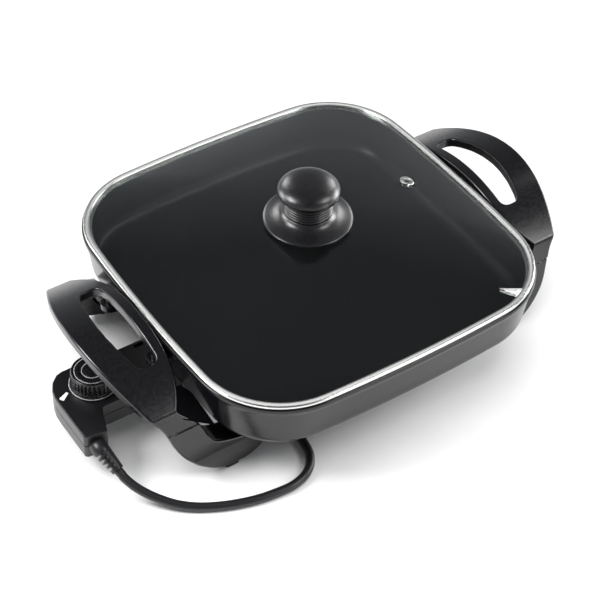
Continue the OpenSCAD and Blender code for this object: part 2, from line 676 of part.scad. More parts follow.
module control_base() color(black) translate([0, control_y, 0]) difference() {
    union() {
        difference() {
            union() {
                case_slab(0, case_low + case_edge, split_z - 0.1);
                case_slab(case_edge, case_low, case_low + case_t + 1);
            }
            case_slab(case_t, case_low + case_t, split_z + 1);
        }
        case_posts(case_low + 1, split_z - 0.1);
    }
    nose_cut();
    relief_cut();
    at_case_screws() {
        translate([0, 0, case_low - 1]) cylinder(h = case_h, r = clip_screw_d / 2 + fit);
        translate([0, 0, case_low - 1]) cylinder(h = 1 + screw_sink, r = 3.1);
    }
}

case_screws = [[-case_x0 - 13.5, case_w / 2 - 5.4], [-case_x1 + 14, case_w / 2 - 7],
    [-case_x0 - 13.5, -case_w / 2 + 5.4]];
screw_sink = 2.2;                         // depth of the counterbores under the casing
module at_case_screws() for (p = case_screws) translate([p[0], p[1], 0]) children();
module case_posts(z0, z1) at_case_screws() translate([0, 0, z0]) cylinder(h = z1 - z0, r = 4);

module casing_screws() color(steel) translate([0, control_y, 0]) at_case_screws()
    screw(case_low + screw_sink - seat, case_top - case_t - 1, clip_screw_d, 2.8, 1.6);

lens = [4, 7];
lens_lip = 0.6;
lens_at = [-case_x1 + 7, 0];
module at_lens() translate([lens_at[0], lens_at[1], 0]) rotate([0, 0, -60]) children();
module index_lens() color([0.95, 0.95, 0.95]) translate([0, control_y, 0]) at_lens() {
    box([-lens[0] / 2, -lens[1] / 2, case_top - case_t - 0.5], [lens[0] / 2, lens[1] / 2, case_top + 0.3]);
    box([-lens[0] / 2 - lens_lip, -lens[1] / 2 - lens_lip, case_top - case_t - 1],
        [lens[0] / 2 + lens_lip, lens[1] / 2 + lens_lip, case_top - case_t - seat / 3]);
}
module pilot_lamp() color([0.95, 0.6, 0.4]) translate([lens_at[0] + 2, control_y, case_top - case_t - 1.3]) {
    mirror([0, 0, 1]) cylinder(h = 6, r = 1.8);
    for (s = [-1, 1]) translate([s * 0.8, 0, -10]) cylinder(h = 4.5, r = 0.35);
}

// Nose with the two sockets; it slides into the guard
nose_x0 = half - 9;
nose_x1 = case_x0 + 7;
nose_flange = 2.4;
module nose_body(grow) {
    box([-nose_x1, -nose_w / 2 + 1 - grow, nose_low - grow],
        [-nose_x0, nose_w / 2 - 1 + grow, nose_top + grow]);
    box([-case_x0 - case_t - nose_flange - grow, -nose_w / 2 - 1 - grow, nose_low - grow],
        [-case_x0 - case_t + grow, nose_w / 2 + 1 + grow, nose_top + grow]);
}
module nose_cut() nose_body(0.1);
module terminal_block() color([0.18, 0.15, 0.14]) translate([0, control_y, 0]) difference() {
    nose_body(0);
    for (s = [-1, 1])
        translate([0, s * pin_gap / 2, terminal_z]) bar_x(-nose_x1 - 1, -nose_x0 + 1, sleeve_r + fit);
    translate([0, 0, terminal_z]) bar_x(-nose_x1 - 1, -nose_x0 + 1, probe_d / 2 + fit);
}

sleeve_r = pin_d / 2 + fit + 1.1;
module socket_sleeves() color(brass) at_pins() {
    difference() {
        bar_x(-nose_x1 - 2, -nose_x0 - 1, sleeve_r);
        bar_x(-nose_x1 + 1, -nose_x0, pin_d / 2 + fit);
    }
    box([-nose_x1 - 7, -2.2, -0.5], [-nose_x1 - 1.5, 2.2, 0.5]);
}

module probe_tube() color(steel) translate([0, control_y, terminal_z]) {
    bar_x(-nose_x1 - 4, -sleeve_x0 - 14, probe_d / 2);
    translate([-sleeve_x0 - 14, 0, 0]) rotate([0, 90, 0])
        cylinder(h = 2, r1 = probe_d / 2, r2 = probe_d / 2 - 1.2);
}

// Thermostat: a frame that carries the spindle, two blades on a riveted stack
frame_t = 1.5;
frame_w = 24;
frame_z = case_top - case_t - 3.3;
floor_z = case_low + case_t;
stack_y = 13;
blade_w = 5;
arm_z = floor_z + 9;
blade_z = floor_z + 5;

module thermostat_frame() color([0.7, 0.66, 0.5]) translate([-dial_x, control_y, 0]) difference() {
    union() {
        box([-frame_w / 2, -6, frame_z - frame_t], [frame_w / 2, 6, frame_z]);
        for (s = [-1, 1]) box([s * (frame_w - frame_t) / 2 - frame_t / 2, -6, floor_z + seat / 2],
            [s * (frame_w - frame_t) / 2 + frame_t / 2, 6, frame_z]);
    }
    cylinder(h = 100, r = spindle_d / 2 + fit);
}

module blade(z, t) difference() {
    box([-blade_w / 2, -16, z - t], [blade_w / 2, stack_y + 4, z]);
    translate([0, stack_y, 0]) cylinder(h = 100, r = 1.6);
}
module contact_arm() color(brass) translate([-dial_x, control_y, 0]) {
    blade(arm_z, 0.6);
    translate([0, -13, arm_z - 1.9]) cylinder(h = 1.4, r = 1.8);
}
module bimetal_blade() color([0.62, 0.6, 0.58]) translate([-dial_x, control_y, 0]) {
    blade(blade_z, 0.8);
    translate([0, -13, blade_z - 0.1]) cylinder(h = 1.6, r = 1.8);
}
module insulator_stack() color(ceramic) translate([-dial_x, control_y + stack_y, 0]) {
    tube_z(floor_z + seat / 2, blade_z - 0.8, 3.6, 1.6);
    tube_z(blade_z, arm_z - 0.6, 3.6, 1.6);
    tube_z(arm_z, arm_z + 2.4, 3.6, 1.6);
}
module stack_rivet() color(steel) translate([-dial_x, control_y + stack_y, 0]) {
    translate([0, 0, floor_z + 0.6]) cylinder(h = arm_z + 2.4 - floor_z - 0.6, r = 1.5);
    translate([0, 0, arm_z + 2.4]) cylinder(h = 1, r = 2.6);
}

// Cord side of the casing
relief_x = -(case_x1 + arm_in) / 2;
relief_z = (case_low + case_top) / 2 - 1;
collar_len = 9;
collar_in = 5;
droop = 26;
veer = 14;
relief_hole = relief_d / 2 + fit;
clamp_y = control_y - case_w / 2 - 9;

module at_relief() translate([relief_x, arm_y, relief_z]) rotate([90, 0, 0]) children();
module relief_cut() at_relief() translate([0, 0, -collar_in]) cylinder(h = 30, r = relief_hole);

module strain_relief() color(black) translate([0, control_y, 0]) at_relief() {
    translate([0, 0, -collar_in]) cylinder(h = collar_len, r = relief_d / 2);
    translate([0, 0, collar_len - collar_in]) sphere(r = relief_d / 2);
    translate([0, 0, collar_len - collar_in]) rotate([droop, veer, 0]) difference() {
        cylinder(h = relief_len, r1 = relief_d / 2 - 0.2, r2 = cord_d / 2 + 0.9);
        for (k = [0:4]) translate([0, 0, relief_d / 2 + 1 + k * relief_len / 6.6])
            difference() {
                cylinder(h = 1.8, r = relief_d);
                cylinder(h = 1.8, r = relief_d / 2 - 1.4 - k * 0.2);
            }
    }
}

module cord_clamp() color([0.85, 0.83, 0.78]) translate([relief_x, clamp_y, 0]) difference() {
    box([-arm_w / 2 + case_t + 0.3, -3, floor_z + seat / 2],
        [arm_w / 2 - case_t - 0.8, 3, relief_z - cord_d / 2]);
    translate([0, 0, relief_z]) rotate([90, 0, 0]) cylinder(h = 10, r = cord_d / 2 + 0.2, center = true);
}

// End of the cord's sheath inside the casing, and its three leads
sheath_y = -case_w / 2 - 4;
lead_r = 0.9;
module cord_end() color(black) translate([relief_x, control_y, relief_z]) rotate([90, 0, 0])
    translate([0, 0, -sheath_y]) cylinder(h = -arm_y - collar_in - seat + sheath_y, r = cord_d / 2);
module inner_leads() color([0.6, 0.25, 0.2]) translate([0, control_y, 0]) {
    y0 = sheath_y + gap;
    low = floor_z + lead_r + 0.6;
    socket = [-nose_x1 - 7 - seat, -pin_gap / 2, terminal_z];
    arm = [-dial_x - blade_w / 2 - seat, -12, arm_z - 0.3];
    lamp = [lens_at[0] + 2, 1, case_top - case_t - 11.3 - lead_r - seat];
    // to the first socket, the contact arm and the lamp
    for (way = [
        [[relief_x + 2, y0, relief_z], [relief_x + 3.5, y0 + 4, relief_z - 2],
         [relief_x + 9, y0 + 11, low + 0.3],
         socket + [-12, -1.5, low - terminal_z], socket + [-5.5, -0.5, low + 1 - terminal_z],
         socket + [-3.5, 0, -4], socket - [1.4, 0, 0.6], socket],
        [[relief_x, y0, relief_z], [relief_x + 1, y0 + 4, relief_z], arm + [-12, -4, 0],
         arm - [5, 0.5, 0], arm],
        [[relief_x - 2, y0, relief_z], [relief_x - 2.4, y0 + 6, lamp[2] - 0.5], lamp + [-1, -13, -1.5],
         lamp + [-0.3, -6, -1], lamp]])
        tube_along(smooth(way, 3), lead_r);
}

// Dial with a ribbed edge and concentric rings on top
dial_z = case_top + 1.3 + gap;
module control_dial() color(black) translate([-dial_x, control_y, 0]) difference() {
    rotate_extrude($fn = 96) polygon([[0, dial_z + 5], [spindle_d / 2 + fit, dial_z + 5],
        [spindle_d / 2 + fit, dial_z], [dial_d / 2 - 0.4, dial_z], [dial_d / 2, dial_z + 0.5],
        [dial_d / 2, dial_z + 3], [dial_d / 2 - 0.7, dial_z + 3.4],
        [dial_d / 2 - 0.9, dial_z + dial_h - 1], [dial_d / 2 - 1.6, dial_z + dial_h],
        [dial_d / 2 - 4.6, dial_z + dial_h], [dial_d / 2 - 5, dial_z + dial_h - 0.6],
        [dial_d / 2 - 6, dial_z + dial_h - 0.6], [dial_d / 2 - 6.4, dial_z + dial_h],
        [dial_d / 2 - 9, dial_z + dial_h], [dial_d / 2 - 9.4, dial_z + dial_h - 0.6],
        [dial_d / 2 - 10.4, dial_z + dial_h - 0.6], [dial_d / 2 - 10.8, dial_z + dial_h],
        [0, dial_z + dial_h]]);
    for (a = [0:10:350]) rotate([0, 0, a]) translate([dial_d / 2 - 0.3, 0, dial_z + 3.2])
        cylinder(h = dial_h - 4.6, r = 0.9, $fn = 16);
}
module dial_spindle() color(steel) translate([-dial_x, control_y, 0]) {
    translate([0, 0, arm_z + 0.3]) cylinder(h = dial_z + 5 - arm_z - 0.5, r = spindle_d / 2);
}

// ---------------------------------------------------------------- cord

cord_r = cord_d / 2;
relief_way = [cos(droop) * sin(veer), -cos(droop) * cos(veer), -sin(droop)];
tip = [relief_x, control_y + arm_y - collar_len + collar_in, relief_z] + (relief_len + 2 * gap) * relief_way;

// Centre line on the table: round numbers from the pan's middle
route = [[-208, -87, 14], [-203, -95, 11], [-196, -103.5, 8], [-187.5, -112, 5.5], [-177, -120, 4],
    [-164, -127.5, 3.5], [-149, -134, 3.5], [-132, -139, 3.5], [-114, -141.5, 3.5], [-103.5, -141.5, 3.5],
    [-92.5, -138.5, 3.5], [-83.5, -132, 3.5], [-77.5, -122.5, 3.5], [-75, -111, 3.5], [-74, -97, 3.5],
    [-71, -75, 3.5], [-65, -46, 3.5], [-57, -8, 3.5], [-48, 33, 3.5], [-39, 74, 3.5], [-31, 112, 3.5],
    [-27.5, 142, 3.5], [-27, 166, 3.5]];
coil_at = [15, 168];
coil_r = 38.5;                            // middle of the turns
tail_route = [[15, 210, 10.5], [32, 208, 9], [47, 202, 6.5], [60, 195, 5.5], [72, 191, 7.5], [84, 189, 11],
    [95, 188, 12.5], [103, 188, 12.5]];

module power_cord() color(black) tube_along(smooth(concat([tip, tip + 4 * relief_way], route), 2), cord_r);

module cord_coil() color(black) translate([coil_at[0], coil_at[1], 0]) rotate_extrude()
    polygon([[coil_r - cord_d, 0], [coil_r + cord_d, 0], [coil_r + cord_d, 2 * cord_d],
             [coil_r, 2 * cord_d], [coil_r, cord_d], [coil_r - cord_d, cord_d]]);

module cord_tail() color(black) tube_along(smooth(tail_route, 2), cord_r);

module cord_tie() color([0.2, 0.2, 0.2])
    translate([coil_at[0] + coil_r, coil_at[1], cord_d]) rotate([90, 0, 0]) difference() {
        translate([-cord_d - 1.3, -cord_d, -2.5]) cube([2 * cord_d + 2.6, 2 * cord_d + 1.3, 5]);
        translate([-cord_d - 0.1, -cord_d - 1, -5]) cube([2 * cord_d + 0.2, 2 * cord_d + 1.1, 10]);
    }

// Moulded three-pin plug, lying on its side with the pins towards +X
plug_size = [28, 28, 25];
boot_len = 14;
blade_gap = 12.7;
earth_off = 11.9;
module at_plug() translate(tail_route[len(tail_route) - 1] + [seat, 0, 0]) children();
module plug_body() color(black) at_plug() {
    rotate([0, 90, 0]) cylinder(h = boot_len + 2, r1 = cord_r + 1.5, r2 = cord_r + 5);
    hull() for (x = [boot_len, boot_len + plug_size[0] - 2])
        for (y = [-1, 1]) for (z = [-1, 1])
            translate([x, y * (plug_size[1] / 2 - 4), z * (plug_size[2] / 2 - 4)])
                rotate([0, 90, 0]) cylinder(h = 2, r = x > 30 ? 4 : 3, $fn = 32);
}
module plug_pins() color(brass) at_plug() translate([boot_len + plug_size[0] + seat, -4, 0]) {
    for (s = [-1, 1]) box([0, -3.15, s * blade_gap / 2 - 0.75], [17.5, 3.15, s * blade_gap / 2 + 0.75]);
    translate([0, earth_off, 0]) bar_x(0, 19, 2.4);
    translate([19, earth_off, 0]) rotate([0, 90, 0]) cylinder(h = 2, r1 = 2.4, r2 = 1.2);
}

// ---------------------------------------------------------------- placing

// The row's origin is under the middle of the whole object
shift_x = (case_x1 - (half + grip_reach)) / 2;
module placed() translate([shift_x, 0, 0]) children();

placed() pan_body();
placed() heating_element();
placed() pin_insulators();
placed() terminal_pins();
placed() element_clips();
placed() clip_screws();
placed() probe_sleeve();
placed() terminal_guard();
placed() guard_screws();
placed() handle_left();
placed() handle_right();
placed() handle_screws();
placed() foot_screws();
placed() foot_pads();
placed() lid_glass();
placed() lid_rim();
placed() vent_eyelet();
placed() knob_seal();
placed() knob_shield();
placed() lid_knob();
placed() knob_washer();
placed() knob_screw();
placed() control_cover();
placed() control_base();
placed() casing_screws();
placed() index_lens();
placed() pilot_lamp();
placed() terminal_block();
placed() socket_sleeves();
placed() probe_tube();
placed() thermostat_frame();
placed() contact_arm();
placed() bimetal_blade();
placed() insulator_stack();
placed() stack_rivet();
placed() cord_clamp();
placed() cord_end();
placed() inner_leads();
placed() strain_relief();
placed() control_dial();
placed() dial_spindle();
placed() power_cord();
placed() cord_coil();
placed() cord_tail();
placed() cord_tie();
placed() plug_body();
placed() plug_pins();
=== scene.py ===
# %% [markdown]
# # Dressing an electric skillet
# A square pan with a domed glass lid, two moulded handles and a plug-in
# temperature control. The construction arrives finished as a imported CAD
# frame. This lesson gives each visible piece its final surface: finer meshes
# where a casting or moulding is curved, and a material named for the real one.

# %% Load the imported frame
import math

import bmesh
import bpy
import numpy as np
from mathutils import Matrix, Vector
from mathutils.geometry import delaunay_2d_cdt


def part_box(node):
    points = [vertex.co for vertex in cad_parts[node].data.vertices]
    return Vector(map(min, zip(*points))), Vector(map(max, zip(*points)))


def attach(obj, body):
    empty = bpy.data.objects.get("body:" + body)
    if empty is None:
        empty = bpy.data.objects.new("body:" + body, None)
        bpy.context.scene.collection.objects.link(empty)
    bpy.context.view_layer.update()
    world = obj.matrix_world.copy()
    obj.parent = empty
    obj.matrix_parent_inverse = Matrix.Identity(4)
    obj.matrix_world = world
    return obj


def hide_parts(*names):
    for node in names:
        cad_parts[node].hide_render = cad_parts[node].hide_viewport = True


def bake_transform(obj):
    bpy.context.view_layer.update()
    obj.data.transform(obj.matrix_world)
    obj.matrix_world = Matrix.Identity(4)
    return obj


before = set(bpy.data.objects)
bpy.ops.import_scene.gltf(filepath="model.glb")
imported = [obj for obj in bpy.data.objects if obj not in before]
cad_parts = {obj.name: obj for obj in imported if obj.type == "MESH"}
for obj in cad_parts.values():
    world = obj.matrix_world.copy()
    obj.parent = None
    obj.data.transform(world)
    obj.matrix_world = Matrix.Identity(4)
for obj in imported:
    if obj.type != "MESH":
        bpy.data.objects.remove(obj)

scene = bpy.context.scene
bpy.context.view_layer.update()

# %% [markdown]
# ## Measures
# Lengths are in millimetres, as on a workshop drawing, and one factor turns
# them into metres when a mesh is made. The places come from the frame: the
# lid's rim gives the middle of the pan and its half width, and the pan's own
# box gives the height of its rim.

# %% Measures taken from the frame
MM = 0.001


def box_mm(node):
    """Lowest and highest corner of a CAD node in millimetres."""
    return tuple(np.array(corner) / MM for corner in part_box(node))


rim_box = box_mm("lid_rim")
mid_x = (rim_box[0][0] + rim_box[1][0]) / 2
half = (rim_box[1][0] - rim_box[0][0]) / 2
rim_z = box_mm("pan_body")[1][2]
print(f"pan middle x {mid_x:.2f} mm, half width {half:.2f} mm, rim at {rim_z:.2f} mm")

# %% [markdown]
# ## Camera
# The view looks down at the skillet from its front left, from a little over a
# metre away through a portrait lens. The camera leans by two degrees, so its
# axes are worked out from the line of sight and then turned about it.

# %% Camera
eye = Vector((mid_x - 555.8, -778.4, rim_z + 872.7)) * MM
target = Vector((mid_x - 41.4, -52.0, rim_z + 1.0)) * MM
lean = math.radians(2.09)
lens_mm, sensor_mm = 99.36, 36.0

camera = bpy.data.objects.new("camera", bpy.data.cameras.new("camera"))
scene.collection.objects.link(camera)
camera.data.lens, camera.data.sensor_width = lens_mm, sensor_mm
camera.data.clip_end = 20
back = (eye - target).normalized()
level_right = Vector((0, 0, 1)).cross(back).normalized()
level_up = back.cross(level_right)
right = level_right * math.cos(lean) + level_up * math.sin(lean)
up = level_up * math.cos(lean) - level_right * math.sin(lean)
turn = Matrix((right, up, back)).transposed().to_4x4()
camera.matrix_world = Matrix.Translation(eye) @ turn
scene.camera = camera
print(f"camera is {(eye - target).length:.3f} m from its target")

# %% [markdown]
# ## Making a mesh
# Most pieces here are lofts: loops of points with the same count, joined by
# bands of quads. A cast pan, a pressed rim and a swept cord are all lofts, so
# one helper serves them. Shading is smooth except over edges that turn by more
# than a set angle, which keeps moulded corners crisp.

# %% Mesh helpers
def make_piece(name, points, faces, crisp=40):
    """A mesh object from points in millimetres; edges sharper than crisp degrees stay crisp."""
    mesh = bpy.data.meshes.new(name)
    mesh.from_pydata([[v * MM for v in p] for p in points], [], faces)
    mesh.validate()
    tidy = bmesh.new()
    tidy.from_mesh(mesh)
    bmesh.ops.recalc_face_normals(tidy, faces=tidy.faces)
    tidy.to_mesh(mesh)
    tidy.free()
    mesh.polygons.foreach_set("use_smooth", [True] * len(mesh.polygons))
    mesh.set_sharp_from_angle(angle=math.radians(crisp))
    piece = bpy.data.objects.new(name, mesh)
    scene.collection.objects.link(piece)
    return piece


def band(a, b, n):
    """Quads from the loop of n points that starts at a to the one that starts at b."""
    return [(a + j, b + j, b + (j + 1) % n, a + (j + 1) % n) for j in range(n)]


def loft(loops, ring=False):
    """Points and faces of bands joining loops; a ring joins its ends, others close them."""
    count, n = len(loops), len(loops[0])
    points = [tuple(p) for loop in loops for p in loop]
    faces = []
    for i in range(count if ring else count - 1):
        faces += band(i * n, (i + 1) % count * n, n)
    if not ring:
        faces += [tuple(range(n)), tuple(range((count - 1) * n, count * n))]
    return points, faces


def smooth_line(points, steps):
    """The chosen points with others between them on a smooth curve."""
    p = [np.array(q, float) for q in points]
    line = []
    for k in range(len(p) - 1):
        a, b, c, d = p[max(k - 1, 0)], p[k], p[k + 1], p[min(k + 2, len(p) - 1)]
        for i in range(steps):
            t = i / steps
            line.append(0.5 * (2 * b + (c - a) * t + (2 * a - 5 * b + 4 * c - d) * t * t
                               + (3 * b - a - 3 * c + d) * t ** 3))
    return line + [p[-1]]


def tube_loops(line, reach, n=16):
    """Loops square to a line; reach(k, a) is the radius of loop k at the angle a."""
    loops = []
    for k, centre in enumerate(line):
        along = line[min(k + 1, len(line) - 1)] - line[max(k - 1, 0)]
        along = along / np.linalg.norm(along)
        side = np.cross((0, 0, 1), along)
        side = side / np.linalg.norm(side)
        top = np.cross(along, side)
        loops.append([centre + reach(k, a) * (math.cos(a) * side + math.sin(a) * top)
                      for a in np.linspace(0, 2 * math.pi, n, endpoint=False)])
    return loops


print("a loft of two squares has", len(loft([[(0, 0, 0)] * 4] * 2)[1]), "faces")

# %% [markdown]
# ## The mains cord
# A cord has one fixed length. It leaves the strain relief, drops to the table,
# runs under the pan and is wound up behind it for storage, with its plug
# beside the coil. The route is the one that the CAD tubes follow. The coil is
# a loop of sums: a wide turn, a step in to a tighter one, and a rise on top.

# %% Cord route
cord_d = 7.0
cord_r = cord_d / 2
relief_len = 21.0   # of the strain relief outside the casing
droop, veer = math.radians(26), math.radians(14)
relief_way = np.array([math.cos(droop) * math.sin(veer), -math.cos(droop) * math.cos(veer),
                       -math.sin(droop)])
end_box = box_mm("cord_end")
relief_root = np.array([(end_box[0][0] + end_box[1][0]) / 2, box_mm("control_cover")[0][1] - 2.5,
                        (end_box[0][2] + end_box[1][2]) / 2])
cord_tip = relief_root + (relief_len - 0.4) * relief_way

table_route = [[-208, -87, 14], [-203, -95, 11], [-196, -103.5, 8], [-187.5, -112, 5.5],
    [-177, -120, 4], [-164, -127.5, 3.5], [-149, -134, 3.5], [-132, -139, 3.5], [-114, -141.5, 3.5],
    [-103.5, -141.5, 3.5], [-92.5, -138.5, 3.5], [-83.5, -132, 3.5], [-77.5, -122.5, 3.5],
    [-75, -111, 3.5], [-74, -97, 3.5], [-71, -75, 3.5], [-65, -46, 3.5], [-57, -8, 3.5],
    [-48, 33, 3.5], [-39, 74, 3.5], [-31, 112, 3.5], [-27.5, 142, 3.5], [-27, 166, 3.5]]
tail_route = [[32, 208, 9], [47, 202, 6.5], [60, 195, 5.5], [72, 191, 7.5], [84, 189, 11],
    [95, 188, 12.5], [103, 188, 12.5]]
print("relief root", relief_root.round(2), "cord tip", cord_tip.round(2))

# %% Wind the coil and sweep the cord
coil_low, coil_high = box_mm("cord_coil")
coil_mid = (coil_low + coil_high) / 2
coil_r = (coil_high[0] - coil_low[0]) / 2 - cord_d
wide_r = coil_r + cord_r
coil_from, coil_to, coil_step = 180, -630, 7.5     # degrees, clockwise
in_from, up_from, change = -110, -400, 70          # where the cord steps in and up, and over how much


def coil_point(angle, radius, z):
    """A point of the coil at an angle in degrees."""
    a = math.radians(angle)
    return np.array([coil_mid[0] + radius * math.cos(a), coil_mid[1] + radius * math.sin(a), z])


def wind():
    """Clockwise turns: wide, in to tight, then up and over on to the top of the wide turn."""
    line = []
    for angle in np.arange(coil_from, coil_to - 0.1, -coil_step):
        step_in = min(max((in_from - angle) / change, 0), 1)
        ease = step_in * step_in * (3 - 2 * step_in)
        rise = math.radians(90) * min(max((up_from - angle) / change, 0), 1)
        radius = wide_r - cord_d * ease * math.cos(rise)
        line.append(coil_point(angle, radius, cord_r + cord_d * math.sin(rise)))
    return line


shift = np.array([mid_x, 0, 0])
lead_in = [cord_tip + d * relief_way for d in (0, 4, 8)] + [np.array(p) + shift for p in table_route]
lead_out = [np.array(p) + shift for p in tail_route]
turns = wind()
cord_line = (smooth_line(lead_in + turns[:1], 4)[:-1] + turns[:-1]
             + smooth_line(turns[-1:] + lead_out, 4))
cord = make_piece("mains_cord", *loft(tube_loops(cord_line, lambda k, a: cord_r)))
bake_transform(cord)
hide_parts("power_cord", "cord_coil", "cord_tail")

# %% [markdown]
# ## The pan
# The pan is one aluminium casting: a gently bowed square with large round
# corners, walls that lean out towards the rim, and a thicker bead round the
# edge for the lid to rest on. A loft of closed loops follows it from the
# underside, up the outside, over the bead and down into the cove. The same
# outline, moved inward, also makes the lid, so the two always match.

# %% One outline for pan and lid
side_r, corner_r = 1400.0, 71.0
side_steps, corner_steps = 20, 20


def outline(h, r, big, z):
    """A closed loop round the pan's middle: half width h, corners r, bowed sides big."""
    a = h - big
    c = (a + math.sqrt(2 * (big - r) ** 2 - a * a)) / 2
    meet = math.atan2(c, c - a)
    quarter = [(a + big * math.cos(g), big * math.sin(g))
               for g in np.linspace(-meet, meet, side_steps + 1)]
    quarter += [(c + r * math.cos(g), c + r * math.sin(g))
                for g in np.linspace(meet, math.pi / 2 - meet, corner_steps + 1)[1:-1]]
    loop = []
    for co, si in ((1, 0), (0, 1), (-1, 0), (0, -1)):
        loop += [(mid_x + x * co - y * si, x * si + y * co, z) for x, y in quarter]
    return loop


def rim_loop(inward, z):
    """The rim's outline, moved inward, at a height."""
    return outline(half - inward, corner_r - inward, side_r - inward, z)


print("the rim's outline has", len(rim_loop(0, rim_z)), "points")

# %% Loops of the casting
pan_low, wall_t, floor_t = rim_z - 46.0, 3.5, 4.0
draft, base_round = 6.5, 11.0
corner_draft = 1.7                      # the corners shrink this much faster than the walls lean in
plain_wall, wall_taper = 29.0, 0.6      # height below the bead, and how far it draws in there
base_half = half - draft


def wall_loop(z, inward):
    """A loop of the leaning wall at the height z, moved inward."""
    h = base_half + draft * (z - pan_low - base_round) / (rim_z - pan_low - base_round)
    return outline(h - inward, corner_r - inward - (half - h) * corner_draft, side_r - inward, z)


def base_loop(degrees):
    """The rounding between wall and underside; 90 degrees is the flat underside."""
    a = math.radians(degrees)
    into = base_round * (1 - math.cos(a))
    return outline(base_half - into, corner_r - draft * corner_draft - into, side_r,
                   pan_low + base_round * (1 - math.sin(a)))


def cove_loop(inward, rise):
    """A loop of the rounding between wall and floor inside, at a rise over the floor."""
    return outline(base_half - wall_t - inward, corner_r - draft * corner_draft - wall_t - inward,
                   side_r, pan_low + floor_t + rise)


outside = [base_loop(a) for a in range(90, -1, -9)]
outside += [wall_loop(pan_low + base_round + t * plain_wall, wall_taper * t) for t in (0.3, 0.6, 0.9, 1)]
outside += [rim_loop(d, rim_z - drop) for d, drop in (
    (1.3, 5.4), (0.5, 4.7), (0.1, 4.1), (0, 3.5), (0, 1.3), (0.2, 0.6), (0.6, 0.15), (1.1, 0))]
inside = [rim_loop(wall_t - 0.8, rim_z), rim_loop(wall_t - 0.2, rim_z - 0.25),
          rim_loop(wall_t, rim_z - 0.9)]
inside += [wall_loop(z, wall_t) for z in np.linspace(rim_z - 6, pan_low + base_round + 1, 5)]
inside += [cove_loop(d, rise) for d, rise in (
    (0.6, 6.4), (1.6, 4.6), (2.6, 3.2), (3.8, 2.0), (5.2, 1.05), (6.9, 0.35), (9, 0))]

print("pan:", len(outside), "loops outside,", len(inside), "inside")

# %% Make the pan
pan = make_piece("pan_casting", *loft(outside + inside))
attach(pan, "skillet")
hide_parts("pan_body")
print("pan has", len(pan.data.polygons), "faces")

# %% [markdown]
# ## The lid
# The lid is a sheet of tempered glass that rises in a low dome, held in a
# pressed stainless rim. The rim is one strip: a flange that lies on the pan's
# bead and a skirt that keeps the lid from sliding. A closed loft goes round
# its section. The dome could be a round bowl cut to size, but glass pressed in
# a square mould is round only at its top. Its loops therefore turn from the
# pan's outline at the edge to a circle at the knob's screw hole.

# %% Lid rim
lid_z, strip_t, flange_w = rim_z + 0.2, 0.8, 6.5
skirt_h = 6.0
skirt_out = wall_t + draft / (rim_z - pan_low - base_round) * skirt_h + 0.3
skirt_in = skirt_out + strip_t
glass_edge = skirt_in + 0.1
glass_t, dome_h = 4.0, 23.3
glass_top = lid_z + strip_t - 0.2
dome_half = half - glass_edge
lip = glass_top + 0.1
flange_rise = 2 * dome_h / dome_half * (flange_w - skirt_in)
under = glass_top - glass_t - 0.1

bead = [(1.2, 0.2), (1.2, 1.0), (1.28, 1.45), (1.5, 1.85), (1.85, 2.15), (2.4, 2.38), (3.2, 2.52),
    (4.1, 2.58), (4.9, 2.5), (5.6, 2.32), (6.1, 2.05), (6.38, 1.75), (6.48, 1.4)]
rim_section = [(d, lid_z + rise) for d, rise in bead]
rim_section += [(flange_w, lip + flange_rise), (skirt_in, lip),
    (skirt_in, under), (8.2, under), (8.5, under - 0.15), (8.6, under - 0.45), (8.5, under - 0.75),
    (8.2, under - 0.9), (skirt_in, under - 0.9), (skirt_in, lid_z - skirt_h),
    (skirt_out, lid_z - skirt_h), (skirt_out, lid_z), (1.5, lid_z)]
lid_rim = make_piece("lid_rim_strip", *loft([rim_loop(d, z) for d, z in rim_section], ring=True))
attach(lid_rim, "lid")
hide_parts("lid_rim")
print("lid rim section has", len(rim_section), "corners")

# %% Glass dome
dome_steps = [1, 0.985, 0.96, 0.92, 0.88, 0.82, 0.76, 0.7, 0.64, 0.58, 0.52, 0.46, 0.4, 0.34, 0.28,
    0.22, 0.17, 0.12, 0.08, 0.05]
edge_square = (corner_r - glass_edge) / dome_half


def dome_loop(s, drop):
    """Loop at the share s of the way from the middle to the edge, drop below the top face."""
    h = dome_half * s
    return outline(h, h * (0.98 - (0.98 - edge_square) * s * s),
                   h * (1.03 + (side_r / half - 1.03) * s * s),
                   glass_top + dome_h * (1 - s * s) - drop)


def hole_loop(radius, z):
    """Circle in step with the dome's loops, for the knob's screw hole."""
    loop = []
    for x, y, _ in dome_loop(0.05, 0):
        reach = math.hypot(x - mid_x, y)
        loop.append((mid_x + (x - mid_x) * radius / reach, y * radius / reach, z))
    return loop


dome_top = glass_top + dome_h
top_loops = [dome_loop(s, 0) for s in dome_steps] + [hole_loop(2.9, dome_top)]
low_loops = [hole_loop(2.9, dome_top - glass_t)] + [dome_loop(s, glass_t) for s in dome_steps[::-1]]
glass = make_piece("lid_glass_dome", *loft(top_loops + low_loops, ring=True))
print(f"dome rises {dome_h} mm over the rim")

# %% [markdown]
# ## The steam vent
# The vent is a hole in the glass with a rolled steel eyelet. The hole crosses
# the dome's loops, so it is cut with a Boolean and not lofted. The eyelet is a
# profile spun round the hole's own axis, which leans with the glass there.

# %% Cutting and turning
def revolve(profile, centre, n=96):
    """Loops round an upright axis through centre from (radius, height) pairs."""
    turn_by = np.linspace(0, 2 * math.pi, n, endpoint=False)
    return [[(centre[0] + r * math.cos(a), centre[1] + r * math.sin(a), z) for a in turn_by]
            for r, z in profile]


